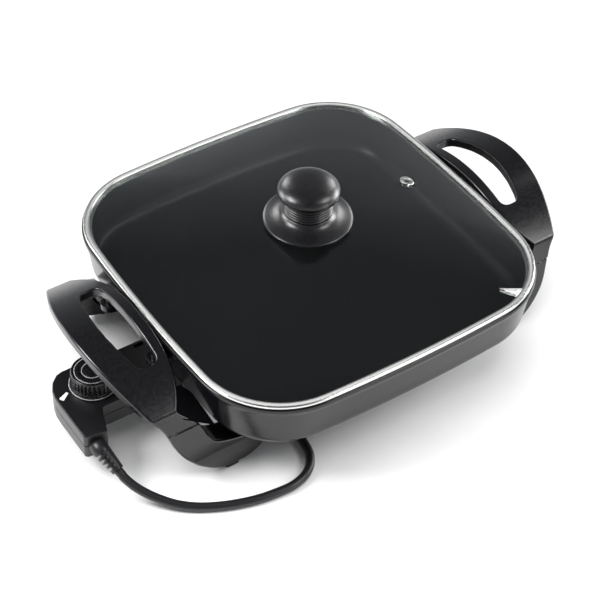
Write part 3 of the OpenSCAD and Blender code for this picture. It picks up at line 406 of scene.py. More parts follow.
def cut(piece, cutter):
    """Takes the cutter's form out of a piece and deletes the cutter."""
    knife = piece.modifiers.new("cut", "BOOLEAN")
    knife.object, knife.operation, knife.solver = cutter, "DIFFERENCE", "EXACT"
    result = bpy.data.meshes.new_from_object(
        piece.evaluated_get(bpy.context.evaluated_depsgraph_get()))
    piece.modifiers.remove(knife)
    piece.data = result
    bpy.data.objects.remove(cutter)


# %% Steam vent
vent_reach, vent_r, vent_turn = 100.0, 4.0, math.radians(3)
vent_share = vent_reach / dome_half
vent_frame = (Matrix.Translation((mid_x, 0, 0)) @ Matrix.Rotation(vent_turn, 4, "Z")
    @ Matrix.Translation((vent_reach, 0, glass_top + dome_h * (1 - vent_share ** 2)))
    @ Matrix.Rotation(math.atan(2 * dome_h * vent_share / dome_half), 4, "Y"))


def at_vent(loops):
    """Loops made round the origin, moved to the vent and leaned with the glass."""
    return [[tuple(vent_frame @ Vector(p)) for p in loop] for loop in loops]


cut(glass, make_piece("vent_cutter", *loft(at_vent(revolve([(vent_r, -10), (vent_r, 10)], (0, 0), 64)))))
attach(glass, "lid")
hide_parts("lid_glass")
eyelet_section = [(3.2, -4.9), (3.2, 0.55), (3.3, 0.85), (3.6, 1.02), (4.3, 1.08), (5.1, 1.0),
    (5.6, 0.82), (5.8, 0.55), (5.7, 0.35), (5.4, 0.25), (3.93, 0.25), (3.93, -4.3), (5.2, -4.3),
    (5.35, -4.5), (5.35, -4.8), (5.2, -5), (3.4, -5)]
eyelet = make_piece("vent_eyelet_ring", *loft(at_vent(revolve(eyelet_section, (0, 0), 48)), ring=True))
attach(eyelet, "lid")
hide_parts("vent_eyelet")
print("glass has", len(glass.data.polygons), "faces")

# %% [markdown]
# ## The knob
# A knob on hot glass comes in two mouldings. A wide flared shield keeps
# fingers off the glass, and the knob itself has a ribbed neck under a domed
# head. Both are turned forms, so each is a profile spun round the axis. The
# ribs are rounded in the profile, one after another.

# %% Knob
shield_z = dome_top + 1.15
neck_z = shield_z + 9
neck_r, neck_h, rib_n = 19.5, 15.0, 6
rib_deep, head_h = 1.1, 13.4
head_z = neck_z + neck_h
bore_r = 2.55
shield_section = [(r, shield_z + z) for r, z in (
    (bore_r, 0), (12, 0), (15, 1), (33, -0.2), (34.4, -0.1), (34.9, 0.4), (35, 1), (34.85, 1.6),
    (34.3, 2.1), (33, 2.4), (30.5, 2.9), (28, 3.4), (25.5, 4.2), (23, 5.4), (21.4, 6.5), (20.4, 7.6),
    (19.9, 8.5), (19.5, 8.9), (bore_r, 8.9))]
shield = make_piece("knob_flare", *loft(revolve(shield_section, (mid_x, 0), 128), ring=True), crisp=30)
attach(shield, "lid")
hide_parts("knob_shield")

knob_section = [(bore_r, neck_z), (neck_r - 0.7, neck_z)]
for k in range(rib_n):
    for t in np.linspace(0, 1, 9)[1:-1]:
        knob_section.append((neck_r - rib_deep + rib_deep * math.sin(math.pi * t) ** 0.6,
                             neck_z + (k + t) * neck_h / rib_n))
    knob_section.append((neck_r - rib_deep, neck_z + (k + 1) * neck_h / rib_n))
head_curve = smooth_line([(r, head_z + z) for r, z in (
    (22.4, 0.5), (23.6, 1.5), (24.3, 3.4), (23.7, 6), (21.7, 8.58), (18.3, 10.85), (13.3, 12.46),
    (7.1, 13.27), (0.4, head_h))], 4)
knob_section += [(neck_r - 0.2, head_z + 0.15)] + [tuple(p) for p in head_curve]
knob_section += [(0.4, head_z + 4), (bore_r, head_z + 4)]
knob = make_piece("knob_moulding", *loft(revolve(knob_section, (mid_x, 0), 128), ring=True), crisp=35)
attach(knob, "lid")
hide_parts("lid_knob")
print(f"knob stands {head_z + head_h - dome_top:.1f} mm above the glass")

# %% [markdown]
# ## Moulded plates
# The handles and the control's casing are all mouldings with an outline,
# holes and rounded edges. One helper makes them. It carries each contour
# through a profile of steps, fills both faces with triangles and places every
# point on a bent surface. It also gives each corner its true normal, so that
# gloss runs cleanly over the roundings and flat faces stay flat.

# %% Contours in the plan
def outward(contour):
    """Unit directions away from the material; outer contours run counter-clockwise, holes clockwise."""
    edges = np.roll(contour, -1, 0) - contour
    edges /= np.linalg.norm(edges, axis=1)[:, None]
    both = edges + np.roll(edges, 1, 0)
    both /= np.linalg.norm(both, axis=1)[:, None]
    return np.stack([both[:, 1], -both[:, 0]], 1)


def moved_in(contour, way, inset):
    """The contour moved into the material; where it would fold over itself, its points meet."""
    flat = contour - way * inset
    edges = np.roll(contour, -1, 0) - contour
    for _ in range(60):
        folded = np.where(((np.roll(flat, -1, 0) - flat) * edges).sum(1) < -1e-9)[0]
        if not len(folded):
            break
        for i in folded:
            k = (i + 1) % len(flat)
            flat[i] = flat[k] = (flat[i] + flat[k]) / 2
    return flat


# %% Round corners and holes
def rounded(corners, radii, spacing=2.5):
    """A closed contour through corners, each rounded by its radius, with points at a spacing."""
    corners = [np.array(c, float) for c in corners]
    radii = [radii] * len(corners) if np.isscalar(radii) else radii
    line = []
    for i, p in enumerate(corners):
        before, after = corners[i - 1] - p, corners[(i + 1) % len(corners)] - p
        u, v = before / np.linalg.norm(before), after / np.linalg.norm(after)
        bend = math.acos(np.clip(np.dot(u, v), -1, 1))
        reach = radii[i] / math.tan(bend / 2)
        steps = max(2, int((math.pi - bend) * 4 + radii[i] / 1.5))
        for t in np.linspace(0, 1, steps + 1):
            line.append(p + reach * ((1 - t) ** 2 * u + t ** 2 * v))
    full = []
    for a, b in zip(line, line[1:] + line[:1]):
        pieces = max(1, int(np.linalg.norm(b - a) / spacing))
        full += [a + (b - a) * k / pieces for k in range(pieces)]
    return np.array(full)


def round_hole(centre, radius, n=48):
    """A clockwise circle, for a hole."""
    a = -np.linspace(0, 2 * math.pi, n, endpoint=False)
    return np.stack([centre[0] + radius * np.cos(a), centre[1] + radius * np.sin(a)], 1)


sample = rounded([(0, 0), (20, 0), (20, 20), (0, 20)], 4)
print("a 20 mm square with 4 mm corners has", len(sample), "points")

# %% Fill between contours
def clear_spots(spots, contours, away):
    """The spots that lie in the material and at least away from every contour."""
    keep = np.zeros(len(spots), bool)
    near = np.full(len(spots), np.inf)
    for c in contours:
        a, b = c, np.roll(c, -1, 0)
        for (ax, ay), (bx, by) in zip(a, b):
            if ax == bx and ay == by:
                continue
            crosses = (ay > spots[:, 1]) != (by > spots[:, 1])
            if crosses.any():
                keep ^= crosses & (spots[:, 0] < ax + (spots[:, 1] - ay) * (bx - ax) / (by - ay + 1e-12))
            along = np.array([bx - ax, by - ay])
            share = np.clip(((spots - (ax, ay)) @ along) / (along @ along), 0, 1)
            near = np.minimum(near, np.linalg.norm(spots - (ax, ay) - share[:, None] * along, axis=1))
    return spots[keep & (near > away)]


def fill(contours, inner):
    """Triangles between flat contours, through the inner points."""
    flat = [Vector(p) for c in contours for p in c] + [Vector(p) for p in inner]
    edges, start = [], 0
    for c in contours:
        edges += [(start + i, start + (i + 1) % len(c)) for i in range(len(c))]
        start += len(c)
    spots, _, faces, sources, _, _ = delaunay_2d_cdt(flat, edges, [], 1, 1e-6)
    middles = np.array([sum((spots[i] for i in face), Vector((0, 0))) / len(face) for face in faces])
    inside_too = {tuple(m) for m in clear_spots(middles, contours, 0)}
    return [tuple(sources[i][0] for i in face) for face, m in zip(faces, middles)
            if tuple(m) in inside_too]


print("and", len(fill([sample], np.zeros((0, 2)))), "triangles fill it")

# %% Carry contours through a profile
def lifted(place, flat, level, way, degrees):
    """Points at a level and their normals, lifted by degrees from the outward direction."""
    step = 0.4
    here = place(flat, level)
    east = place(flat + (step, 0), level) - place(flat - (step, 0), level)
    north = place(flat + (0, step), level) - place(flat - (0, step), level)
    top = np.cross(east, north)
    top /= np.linalg.norm(top, axis=1)[:, None]
    out = way[:, :1] * east + way[:, 1:] * north
    out -= top * (out * top).sum(1)[:, None]
    out /= np.linalg.norm(out, axis=1)[:, None] + 1e-12
    a = math.radians(degrees)
    return here, math.cos(a) * out + math.sin(a) * top


def plate(contours, profiles, place, spots, away=2.0):
    """Points, faces and corner normals; a profile step is inset, level, angle before and after."""
    points, faces, normals, ends = [], [], [], ([], [])
    for contour, profile in zip(contours, profiles):
        way, n = outward(contour), len(contour)
        rings = []
        for inset, level, before, *after in profile:
            flat = moved_in(contour, way, inset)
            here, early = lifted(place, flat, level, way, before)
            late = lifted(place, flat, level, way, after[0])[1] if after else early
            rings.append((len(points), early, late, flat))
            points += list(here)
        for (a, _, top, _), (b, low, _, _) in zip(rings, rings[1:]):
            faces += band(a, b, n)
            normals += [(top[j], low[j], low[(j + 1) % n], top[(j + 1) % n]) for j in range(n)]
        ends[0].append((rings[0][0], rings[0][1], rings[0][3], profile[0][1]))
        ends[1].append((rings[-1][0], rings[-1][2], rings[-1][3], profile[-1][1]))
    for sign, end in ((1, ends[0]), (-1, ends[1])):
        flats = [flat for _, _, flat, _ in end]
        inner = clear_spots(spots, flats, away)
        names = [start + i for start, _, flat, _ in end for i in range(len(flat))]
        names += range(len(points), len(points) + len(inner))
        looks = [look for _, ring, _, _ in end for look in ring]
        here, look = lifted(place, inner, end[0][3], np.ones((len(inner), 2)), 90 * sign)
        points += list(here)
        looks += list(look)
        for face in fill(flats, inner):
            faces.append(tuple(names[i] for i in face))
            normals.append(tuple(looks[i] for i in face))
    return points, faces, normals


# %% [markdown]
# ## The handles
# Each handle is one phenolic moulding. A flat grip arches over the side of
# the pan with an opening for the fingers, turns down at two creases, and ends
# in two broad feet that carry the pan. The plan is drawn flat, with the
# length along the bend as its second axis, and is then laid on the bent line.
# A groove crosses each leg below the crease, where the band ends.

# %% The handle's bent line
top_z, crease_y = rim_z + 5.0, 81.0
arch_k, bow_k = 246.0, 350.0
grip_reach, grip_t, leg_t, pad_h = 57.0, 8.0, 7.0, 2.0
grip_gap, grip_draw = 1.2, 15.1         # gap to the rim at the grip's middle, more at its creases
crease_z = top_z - crease_y ** 2 / arch_k
# Thickness is taken straight up as far as upright_run, and square to the face past the crease.
upright_run, turn_half = 55.0, 9.0
groove_share = 0.765                    # the groove's height as a share of the crease's
groove_half, groove_deep, leg_back = 0.6, 1.2, 0.4      # the leg stands back below its groove
# Down a leg: share of the crease's height, step out, inner and outer edge from the rim.
leg_plan = [(0.03, 1.0, 14.6, 36.6), (0.12, 3.6, 8.8, 32), (0.23, 6.6, 2.6, 28.5),
    (0.33, 8.6, -0.6, 26.2), (0.42, 10.4, -2.6, 24.3), (0.51, 12.2, -6.4, 21.8),
    (0.57, 13.3, -12.5, 19.7), (0.62, 14.2, -26, 17.5), (0.655, 14.85, -43, 15.6),
    (0.685, 15.4, -50, 14), (0.725, 15.95, -52.6, 11.7), (0.78, 16.8, -51.4, 8),
    (0.85, 17.8, -47.5, 2), (0.91, 18.4, -41.5, -4), (0.96, 18.8, -34, -11.5), (1.01, 19, -27, -18.5)]


def grip_station(y):
    """Distance along the pan, height, and the grip's inner and outer edges from the rim."""
    return np.array([y, top_z - y * y / arch_k, grip_gap + grip_draw * (y / crease_y) ** 4,
                     grip_reach - y * y / bow_k])


leg_stations = [np.array([crease_y + out, crease_z * (1 - share), x_in, x_out])
                for share, out, x_in, x_out in leg_plan]
leg_line = smooth_line([grip_station(crease_y)] + leg_stations, 12)
before, crease, after = grip_station(crease_y - 1.3), leg_line[0], leg_line[10]
turn_line = [(1 - t) ** 2 * before + 2 * t * (1 - t) * crease + t * t * after
             for t in np.linspace(0, 1, 9)]
stations = np.array([grip_station(y) for y in np.arange(0, crease_y - 1.4, 1.0)]
                    + turn_line + leg_line[11:])
stations = stations[stations[:, 1] > pad_h - 1.2]
run = np.concatenate([[0], np.cumsum(np.linalg.norm(np.diff(stations[:, :2], axis=0), axis=1))])
run_fine = np.arange(0, run[-1], 0.25)
line_y, line_z, edge_in, edge_out = (np.interp(run_fine, run, stations[:, i]) for i in range(4))
foot_run = float(np.interp(-pad_h - 0.1, -line_z, run_fine))
crease_run = float(np.interp(crease_y - 0.1, line_y, run_fine))
groove_run = float(np.interp(-crease_z * groove_share, -line_z, run_fine))
slope = np.arctan2(-np.gradient(line_z), np.gradient(line_y))
turn_start, turn_end = crease_run - turn_half, crease_run + turn_half
lean_by = np.interp(run_fine, [0, upright_run, turn_start, turn_end],
    [0, 0, np.interp(turn_start, run_fine, slope) * 0.9, np.interp(turn_end, run_fine, slope)])
lean_by = np.where(run_fine > turn_end, slope, lean_by)
print(f"handle line: crease at {crease_run:.1f}, groove at {groove_run:.1f}, foot at {foot_run:.1f} mm")


def on_handle(flat, level):
    """Places plan points (from the rim, along the bend) at a level above the handle's face."""
    far, side = np.abs(flat[:, 1]), np.sign(flat[:, 1])
    y, z, tilt, lean_to = (np.interp(far, run_fine, v) for v in (line_y, line_z, slope, lean_by))
    thick = np.interp(far, [crease_run - 8, crease_run + 8], [1, leg_t / grip_t])
    groove = np.interp(far, [groove_run - 1, groove_run - groove_half, groove_run + groove_half,
                             groove_run + 1], [0, -groove_deep, -groove_deep, -leg_back])
    depth = level * thick + groove * np.clip((level + 5) / 3, 0, 1)
    reach = depth / np.cos(tilt - lean_to)
    return np.stack([mid_x + half + flat[:, 0], side * (y + reach * np.sin(lean_to)),
                     z + reach * np.cos(lean_to)], 1)


# %% The handle's plan
# Every edge has points at these runs, so that the crease and the groove stay straight across.
special = np.array([crease_run + d for d in (-3, -2, -1.5, -1, -0.5, 0, 0.5, 1, 1.5, 2, 3)]
                   + [groove_run + d for d in (-2, -1, -0.6, 0, 0.6, 1, 2)])
tip_run = foot_run - 3.0


def edge_points(edge, spacing=2.2):
    """Points down one edge from the grip's middle to the foot, with all the special runs."""
    picked = [(float(edge[0]), 0.0)]
    wanted = sorted(float(r) for r in special)
    for r, x in zip(run_fine, edge):
        if r > tip_run:
            break
        if wanted and r >= wanted[0]:
            picked.append((float(np.interp(wanted[0], run_fine, edge)), wanted.pop(0)))
        elif math.hypot(x - picked[-1][0], r - picked[-1][1]) > spacing and not (
                wanted and wanted[0] - r < 0.9):
            picked.append((float(x), float(r)))
    return picked


outer, inner = edge_points(edge_out), edge_points(edge_in)
foot_x_out, foot_x_in = (float(np.interp(foot_run, run_fine, edge)) for edge in (edge_out, edge_in))


def foot_corner(start, corner, end):
    """A rounded corner of the foot's lower edge."""
    start, corner, end = (np.array(p) for p in (start, corner, end))
    return [tuple((1 - t) ** 2 * start + 2 * t * (1 - t) * corner + t * t * end)
            for t in (0.2, 0.4, 0.6, 0.8, 1)]


tip = foot_corner(outer[-1], (foot_x_out, foot_run), (foot_x_out - 4, foot_run))
tip += foot_corner(inner[-1], (foot_x_in, foot_run), (foot_x_in + 4, foot_run))[::-1]
half_plan = outer + tip + inner[::-1]
handle_contour = np.array(half_plan + [(x, -r) for x, r in half_plan[1:-1][::-1]])

slot_half, slot_in, slot_out, slot_bow = 46.0, 10.5, 35.0, 8.5
slot_outer = [(slot_out - slot_bow * (y / slot_half) ** 2, float(y))
              for y in (46, 36, 24, 12, 0, -12, -24, -36, -46)]
slot_contour = rounded([(slot_in, -slot_half), (slot_in, slot_half)] + slot_outer,
                       [7, 7, 8] + [6] * 7 + [8])
slot_y = slot_contour[:, 1].copy()
slot_contour[:, 1] = np.sign(slot_y) * np.interp(np.abs(slot_y), line_y, run_fine)
print("handle contour has", len(handle_contour), "points, its opening", len(slot_contour))


# %% Make both handles
def edge_profile(top, low, top_r, low_r, steps=5):
    """Steps from the top face over a rounding, down the wall and under."""
    over = [(top_r * (1 - math.cos(a)), top - top_r * (1 - math.sin(a)), math.degrees(a))
            for a in np.linspace(math.pi / 2, 0, steps + 1)]
    below = [(low_r * (1 - math.cos(a)), low + low_r * (1 - math.sin(a)), -math.degrees(a))
             for a in np.linspace(0, math.pi / 2, steps)]
    return over + below


rows = np.concatenate([np.arange(0, crease_run - 3.5, 3.0), special,
                       np.arange(crease_run + 4, foot_run, 2.5)])
rows = np.unique(np.concatenate([rows, -rows]))
spots = np.array([(x, r) for r in rows for x in np.arange(-52, 60, 6.0)])
handle_shape = plate([handle_contour, slot_contour],
    [edge_profile(0, -grip_t, 1.8, 1.0), edge_profile(0, -grip_t, 1.4, 1.0)], on_handle, spots, 1.2)


def mirrored(points, faces, normals):
    """The same form on the other side of the pan."""
    flip = np.array([-1, 1, 1])
    return ([np.array(p) * flip + (2 * mid_x, 0, 0) for p in points], faces,
            [[np.array(v) * flip for v in corners] for corners in normals])


def make_moulding(name, points, faces, normals):
    """A piece with its own corner normals."""
    piece = make_piece(name, points, faces, crisp=180)
    looks = [dict(zip(face, corners)) for face, corners in zip(faces, normals)]
    piece.data.normals_split_custom_set(
        [Vector(looks[p.index][v]).normalized() for p in piece.data.polygons for v in p.vertices])
    return piece


handles = {"right": make_moulding("grip_right", *handle_shape),
           "left": make_moulding("grip_left", *mirrored(*handle_shape))}
for side, piece in handles.items():
    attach(piece, "skillet")
    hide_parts("handle_" + side)
    print("handle", side, len(piece.data.polygons), "faces")

# %% [markdown]
# ## Behind the handles
# A moulding of even thickness is stiffened from behind. A small web fills each
# crease, a flange runs down behind each leg, and screw bosses meet the pan's
# own lugs. Each is a simple form: the web is the tightest hull round nine
# corners, the flange a loft and the bosses turned. They run a little into the
# handle, because a seam that nobody sees needs no blending.

# %% Webs and bosses
# Web corners from the rim, the crease's end and its height.
web_corners = [(-4.1, -14.1, -5.4), (-2.1, 1.4, -19.4), (-8.9, 11, -20), (14, 4, -7), (15, -2, -4),
    (4, 2, -17), (12, -22, 1), (-1, -24, -4), (10, -22, -6)]
lug_x, lug_y, lug_top = 7.3, 34.0, rim_z - 11
foot_x, foot_y, foot_base = half - 38.0, 91.0, 12.0
bar_boss_r, foot_boss_r, lug_r, screw_bore = 3.1, 5.5, 7, 2.05
boss_top = top_z - (lug_y + 4.5) ** 2 / arch_k - 3      # inside the grip, 3 mm under its face
lug_deep, half_arm, boss_gap = 6, 7, 0.15


def several(parts):
    """Points and faces of separate closed forms that make one piece."""
    points, faces = [], []
    for some, joins in parts:
        faces += [tuple(i + len(points) for i in face) for face in joins]
        points += list(some)
    return points, faces


def web_points(side, end):
    """The web's corners at one end of one handle; side and end are -1 or 1."""
    return [(mid_x + side * (half + x), end * (crease_y + y), crease_z + z) for x, y, z in web_corners]


def hull_of(points):
    """Points and faces of the tightest closed form round some points."""
    form = bmesh.new()
    for p in points:
        form.verts.new(p)
    bmesh.ops.convex_hull(form, input=form.verts)
    form.verts.index_update()
    result = ([tuple(v.co) for v in form.verts], [tuple(v.index for v in f.verts) for f in form.faces])
    form.free()
    return result


def pillar(x, y, low, high, radius, n=40):
    """A round boss with a screw hole up its middle."""
    soft = 0.5
    return loft(revolve([(screw_bore, low), (radius - soft, low), (radius, low + soft),
        (radius, high - soft), (radius - soft, high), (screw_bore, high)], (x, y), n), ring=True)


def leg_rib(sign, end):
    """A flange behind the leg's inner edge, 2.4 mm thick, that deepens from 7 to 19 mm."""
    first, last = (float(np.interp(-level, -line_z, run_fine))
                   for level in (crease_z * 0.6, pad_h + 2))
    loops = []
    for r in np.linspace(first, last, 26):
        edge = float(np.interp(r, run_fine, edge_in))
        deep = 19 - 12 * math.exp(-(r - first) / 6)
        flat = np.array([(edge + 0.4, end * r), (edge + 2.8, end * r)])
        near = on_handle(flat, -1.8)
        far = near - (0, end * deep, 0)
        loops.append([(mid_x + sign * (p[0] - mid_x), p[1], p[2])
                      for p in (near[0], near[1], far[1], far[0])])
    return loft(loops)


for side, sign in (("right", 1), ("left", -1)):
    forms = []
    for end in (-1, 1):
        forms.append(hull_of(web_points(sign, end)))
        forms.append(leg_rib(sign, end))
        forms.append(pillar(mid_x + sign * (half + lug_x), end * lug_y, lug_top + boss_gap, boss_top,
                            bar_boss_r))
        forms.append(pillar(mid_x + sign * foot_x, end * foot_y, foot_base, pan_low - 5 - boss_gap,
                            foot_boss_r))
    webs = make_piece("handle_webs_" + side, *several(forms), crisp=30)
    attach(webs, "skillet")
    print("webs", side, len(webs.data.polygons), "faces")

# %% Lugs on the pan
lug_forms = []
for sign in (-1, 1):
    for end in (-1, 1):
        reach = sorted((mid_x + sign * (half - 5), mid_x + sign * (half + lug_x)))
        arm = [(reach[0], end * lug_y - half_arm), (reach[1], end * lug_y - half_arm),
               (reach[1], end * lug_y + half_arm), (reach[0], end * lug_y + half_arm)]
        lug_forms.append(loft([[(x, y, z) for x, y in arm] for z in (lug_top - lug_deep, lug_top)]))
        lug_forms.append(pillar(mid_x + sign * (half + lug_x), end * lug_y, lug_top - lug_deep, lug_top,
                                lug_r))
        lug_forms.append(pillar(mid_x + sign * foot_x, end * foot_y, pan_low - 5, pan_low + 0.5,
                                foot_boss_r))
lugs = make_piece("pan_lugs", *several(lug_forms), crisp=30)
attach(lugs, "skillet")
print("pan lugs have", len(lugs.data.polygons), "faces")

# %% [markdown]
# ## The plug-in control
# The temperature control is a small two-part casing with an arm for the cord.
# Its plan is one polygon. Cover and base are closed forms of the same plan
# that meet at a parting line a little below the middle, with a fine groove
# between them. Nothing shows their hollow insides, so the plate helper goes
# over the edge and down the wall, and turns in at the parting face.

# %% Casing
control_y, case_t, over_r = -5.0, 2.0, 1.2
case_low, case_top, split_z = 19.0, 42.0, 31.0
case_x0, case_x1, arm_y, arm_in = half + 22, half + 76.5, -45.0, half + 58.5
case_corners = [(-case_x0, 24), (-case_x1 + 17, 24), (-case_x1 + 12, 22.8), (-case_x1 + 6, 17.5),
    (-case_x1 + 2, 10.5), (-case_x1 + 0.3, 3), (-case_x1, -4), (-case_x1, arm_y + 2.8),
    (-case_x1 + 1.6, arm_y + 1.1), (-arm_in - 1.2, arm_y - 1.5), (-arm_in, arm_y - 0.4),
    (-arm_in + 7, -24), (-case_x0, -24)]
case_contour = rounded(case_corners, [1.5, 3, 2.5, 3, 3, 3, 3, 1, 1, 0.8, 0.8, 4, 1.5])
dial_x = case_x0 + 23


def upright(flat, level):
    """Plan points from the control's axis at a height above the table."""
    return np.stack([mid_x + flat[:, 0], control_y + flat[:, 1], np.full(len(flat), float(level))], 1)


def shell_profile(high, parting):
    """Over the edge, down the outside and in at the parting face."""
    sign = 1 if high > parting else -1
    over = [(over_r * (1 - math.cos(a)), high - sign * over_r * (1 - math.sin(a)),
             sign * math.degrees(a)) for a in np.linspace(math.pi / 2, 0, 6)]
    return over + [(0, parting + sign * 0.5, 0), (0.35, parting + sign * 0.15, -sign * 60, -sign * 90)]


lens_angle = math.radians(-60)
lens_at = np.array([-case_x1 + 7, 0.0])


def lens_outline(grow):
    """The index mark: a slim wedge that points to the dial."""
    flat = [(-2 - grow, -4 - grow), (2 + grow, -4 - grow), (1.1 + grow, 4 + grow),
            (-1.1 - grow, 4 + grow)]
    c, s = math.cos(lens_angle), math.sin(lens_angle)
    return rounded([lens_at + (x * c - y * s, x * s + y * c) for x, y in flat], 0.4, 1.0)


# A hole runs straight through a half, with a small chamfer at its outer edge.
chamfer = 0.25
cover_hole = [(chamfer, case_top, 90), (0, case_top - chamfer, 0), (0, split_z + 0.15, 0, -90)]
base_hole = [(chamfer, case_low, -90), (0, case_low + chamfer, 0), (0, split_z - 0.25, 0, 90)]
case_spots = np.array([(x, y) for x in np.arange(-230, -170, 5.0) for y in np.arange(-48, 26, 5.0)])
cover_shape = plate([case_contour, round_hole((-dial_x, 0), 3.1), lens_outline(0.08)[::-1]],
    [shell_profile(case_top, split_z), cover_hole, cover_hole], upright, case_spots)
cover = make_moulding("casing_cover", *cover_shape)
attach(cover, "control")
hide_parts("control_cover")
screw_holes = [round_hole(p, 2.9, 32) for p in (
    (-case_x0 - 13.5, 18.6), (-case_x1 + 14, 17), (-case_x0 - 13.5, -18.6))]
base_shape = plate([case_contour] + screw_holes,
    [shell_profile(case_low, split_z - 0.1)] + [base_hole] * 3, upright, case_spots)
base = make_moulding("casing_base", *base_shape)
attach(base, "control")
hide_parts("control_base")
print("casing:", len(cover.data.polygons), "faces on top,", len(base.data.polygons), "below")

# %% [markdown]
# ## Index mark and dial
# A white wedge in the cover shows which setting is chosen. The dial turns over
# it in a low collar. Its grip is a row of fine flutes, so each loop of the
# dial is a circle with a small wave on it. The two silver rings are hot-foil
# bands in shallow grooves, and so they are flat rings of their own.

# %% Index mark
lens = make_moulding("index_mark", *plate([lens_outline(0)],
    [edge_profile(case_top + 0.3, case_top - case_t, 0.3, 0.2, 3)], upright, np.zeros((0, 2))))
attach(lens, "control")
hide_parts("index_lens")
print("index mark has", len(lens.data.polygons), "faces")

# %% Dial
dial_z = case_top + 1.6
dial_middle = (mid_x - dial_x, control_y)
collar = make_piece("dial_collar", *loft(revolve([(12, case_top - 0.2), (19.0, case_top - 0.2),
    (19.0, case_top + 0.9), (18.9, case_top + 1.2), (18.6, case_top + 1.3), (12, case_top + 1.3)],
    dial_middle, 96), ring=True), crisp=30)
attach(collar, "control")

# Radius, height and depth of the flutes.
dial_section = [(3.05, 0), (17.1, 0), (17.5, 0.2), (17.6, 0.6), (17.6, 1.9), (17.4, 2.3), (16.7, 2.5),
    (16.65, 3.0, 0.45), (16.6, 5, 0.45), (16.5, 8, 0.45), (16.4, 11.4, 0.45), (16.35, 11.9, 0.15),
    (16.3, 12.2), (16.2, 12.9), (15.9, 13.25), (15.5, 13.4), (14.3, 13.4), (14.1, 13.3), (14.0, 12.9),
    (13.2, 12.9), (13.1, 13.3), (12.9, 13.4), (8.8, 13.4), (8.6, 13.3), (8.5, 12.9), (7.7, 12.9),
    (7.6, 13.3), (7.4, 13.4), (0.3, 13.4), (0.3, 5), (3.05, 5)]
rib_count, dial_n = 36, 288


def dial_loop(r, z, rib=0):
    """A loop of the dial; rib is how far its flutes stand in and out."""
    loop = []
    for a in np.linspace(0, 2 * math.pi, dial_n, endpoint=False):
        reach = r + rib * max(-0.5, math.cos(rib_count * a)) - 0.25 * rib
        loop.append((dial_middle[0] + reach * math.cos(a), dial_middle[1] + reach * math.sin(a),
                     dial_z + z))
    return loop


dial = make_piece("dial_moulding", *loft([dial_loop(*row) for row in dial_section], ring=True), crisp=35)
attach(dial, "dial")
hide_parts("control_dial")


# %% Silver rings
def ring_band(r_in, r_out, low, high):
    """A thin flat ring with softened edges."""
    soft = 0.12
    return loft(revolve([(r_in, low), (r_out, low), (r_out, high - soft), (r_out - soft, high),
        (r_in + soft, high), (r_in, high - soft)], dial_middle, 96), ring=True)


rings = make_piece("dial_rings", *several([
    ring_band(r, r + 0.5, dial_z + 12.85, dial_z + 13.3) for r in (13.4, 7.85)]))
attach(rings, "dial")
trim = make_piece("collar_trim", *ring_band(17.9, 18.5, case_top + 1.2, case_top + 1.45))
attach(trim, "control")
print("dial has", rib_count, "flutes")

# %% [markdown]
# ## The strain relief
# A short rubber sleeve keeps the cord from kinking where it leaves the casing.
# Slots leave a row of ribs joined by a spine, so it bends evenly. It is swept
# like the cord, with a radius that changes along the sleeve and round it.

# %% Strain relief
spine_side = math.radians(40)
relief_r, relief_taper, rib_pitch, slot_w = 6.6, 1.8, 4.0, 2.2
relief_run = np.concatenate([np.linspace(-5, 3, 9), np.arange(3.35, relief_len + 0.01, 0.35)])
slot_starts = [3.6 + rib_pitch * k for k in range(4)]


def relief_centre(s):
    """Straight out of the casing, then bent down to the cord's way."""
    blend = min(max((s + 2.5) / 6, 0), 1)
    way = (1 - blend) * np.array([0, -1, 0]) + blend * relief_way
    return relief_root + s * way


def relief_radius(s, a):
    """Full on the spine and the ribs, close to the cord in the slots."""
    full = relief_r if s < 1.5 else relief_r - relief_taper * (s - 1.5) / (relief_len - 1.5)
    spine = min(max((math.cos(a - spine_side) - 0.25) / 0.3, 0), 1)
    in_slot = any(start < s < start + slot_w for start in slot_starts)
    core = cord_r - 0.4
    return full - (full - core) * (1 - spine) * (1 if in_slot else 0)


relief_line = [relief_centre(s) for s in relief_run]
relief_loops = tube_loops(relief_line, lambda k, a: relief_radius(relief_run[k], a), 48)
relief = make_piece("cord_relief", *loft(relief_loops), crisp=30)
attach(relief, "control")
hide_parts("strain_relief")
print("strain relief has", len(slot_starts), "slots")

# %% [markdown]
# ## The plug
# The far end is a moulded mains plug with a ribbed boot. The pan hides it from
# this camera, but it is finished like every other piece. Its sections are
# rounded rectangles that grow from the round boot.

# %% Plug
plug_at = np.array(tail_route[-1]) + shift + (0.15, 0, 0)
# Distance along the plug, half width, half height, and how square the section is (2 is round).
plug_steps = [(0, 5, 5, 2), (0.6, 5.4, 5.4, 2), (3, 5.8, 5.8, 2), (3.5, 5.0, 5.0, 2), (5, 5.0, 5.0, 2),
    (5.5, 6.6, 6.6, 2), (7.5, 7.0, 7.0, 2), (8, 6.1, 6.1, 2), (9.5, 6.1, 6.1, 2), (10, 8.0, 7.8, 2.2),
    (12, 9.4, 8.9, 2.6), (14, 12.0, 10.8, 3.4), (15, 13.2, 11.8, 4), (16.5, 13.9, 12.4, 4.6),
    (18, 14, 12.5, 5), (24, 13.6, 12.1, 5), (30, 13.6, 12.1, 5), (36, 14, 12.5, 5), (40.5, 14, 12.5, 5),
    (41.5, 13.7, 12.2, 5), (42, 13.1, 11.6, 4.6)]


def plug_loop(x, wide, high, square, n=64):
    """A section of the plug at x: a circle drawn out towards a rectangle."""
    loop = []
    for a in np.linspace(0, 2 * math.pi, n, endpoint=False):
        c, s = math.cos(a), math.sin(a)
        scale = (abs(c) ** square + abs(s) ** square) ** (-1 / square)
        loop.append(plug_at + (x, wide * c * scale, high * s * scale))
    return loop


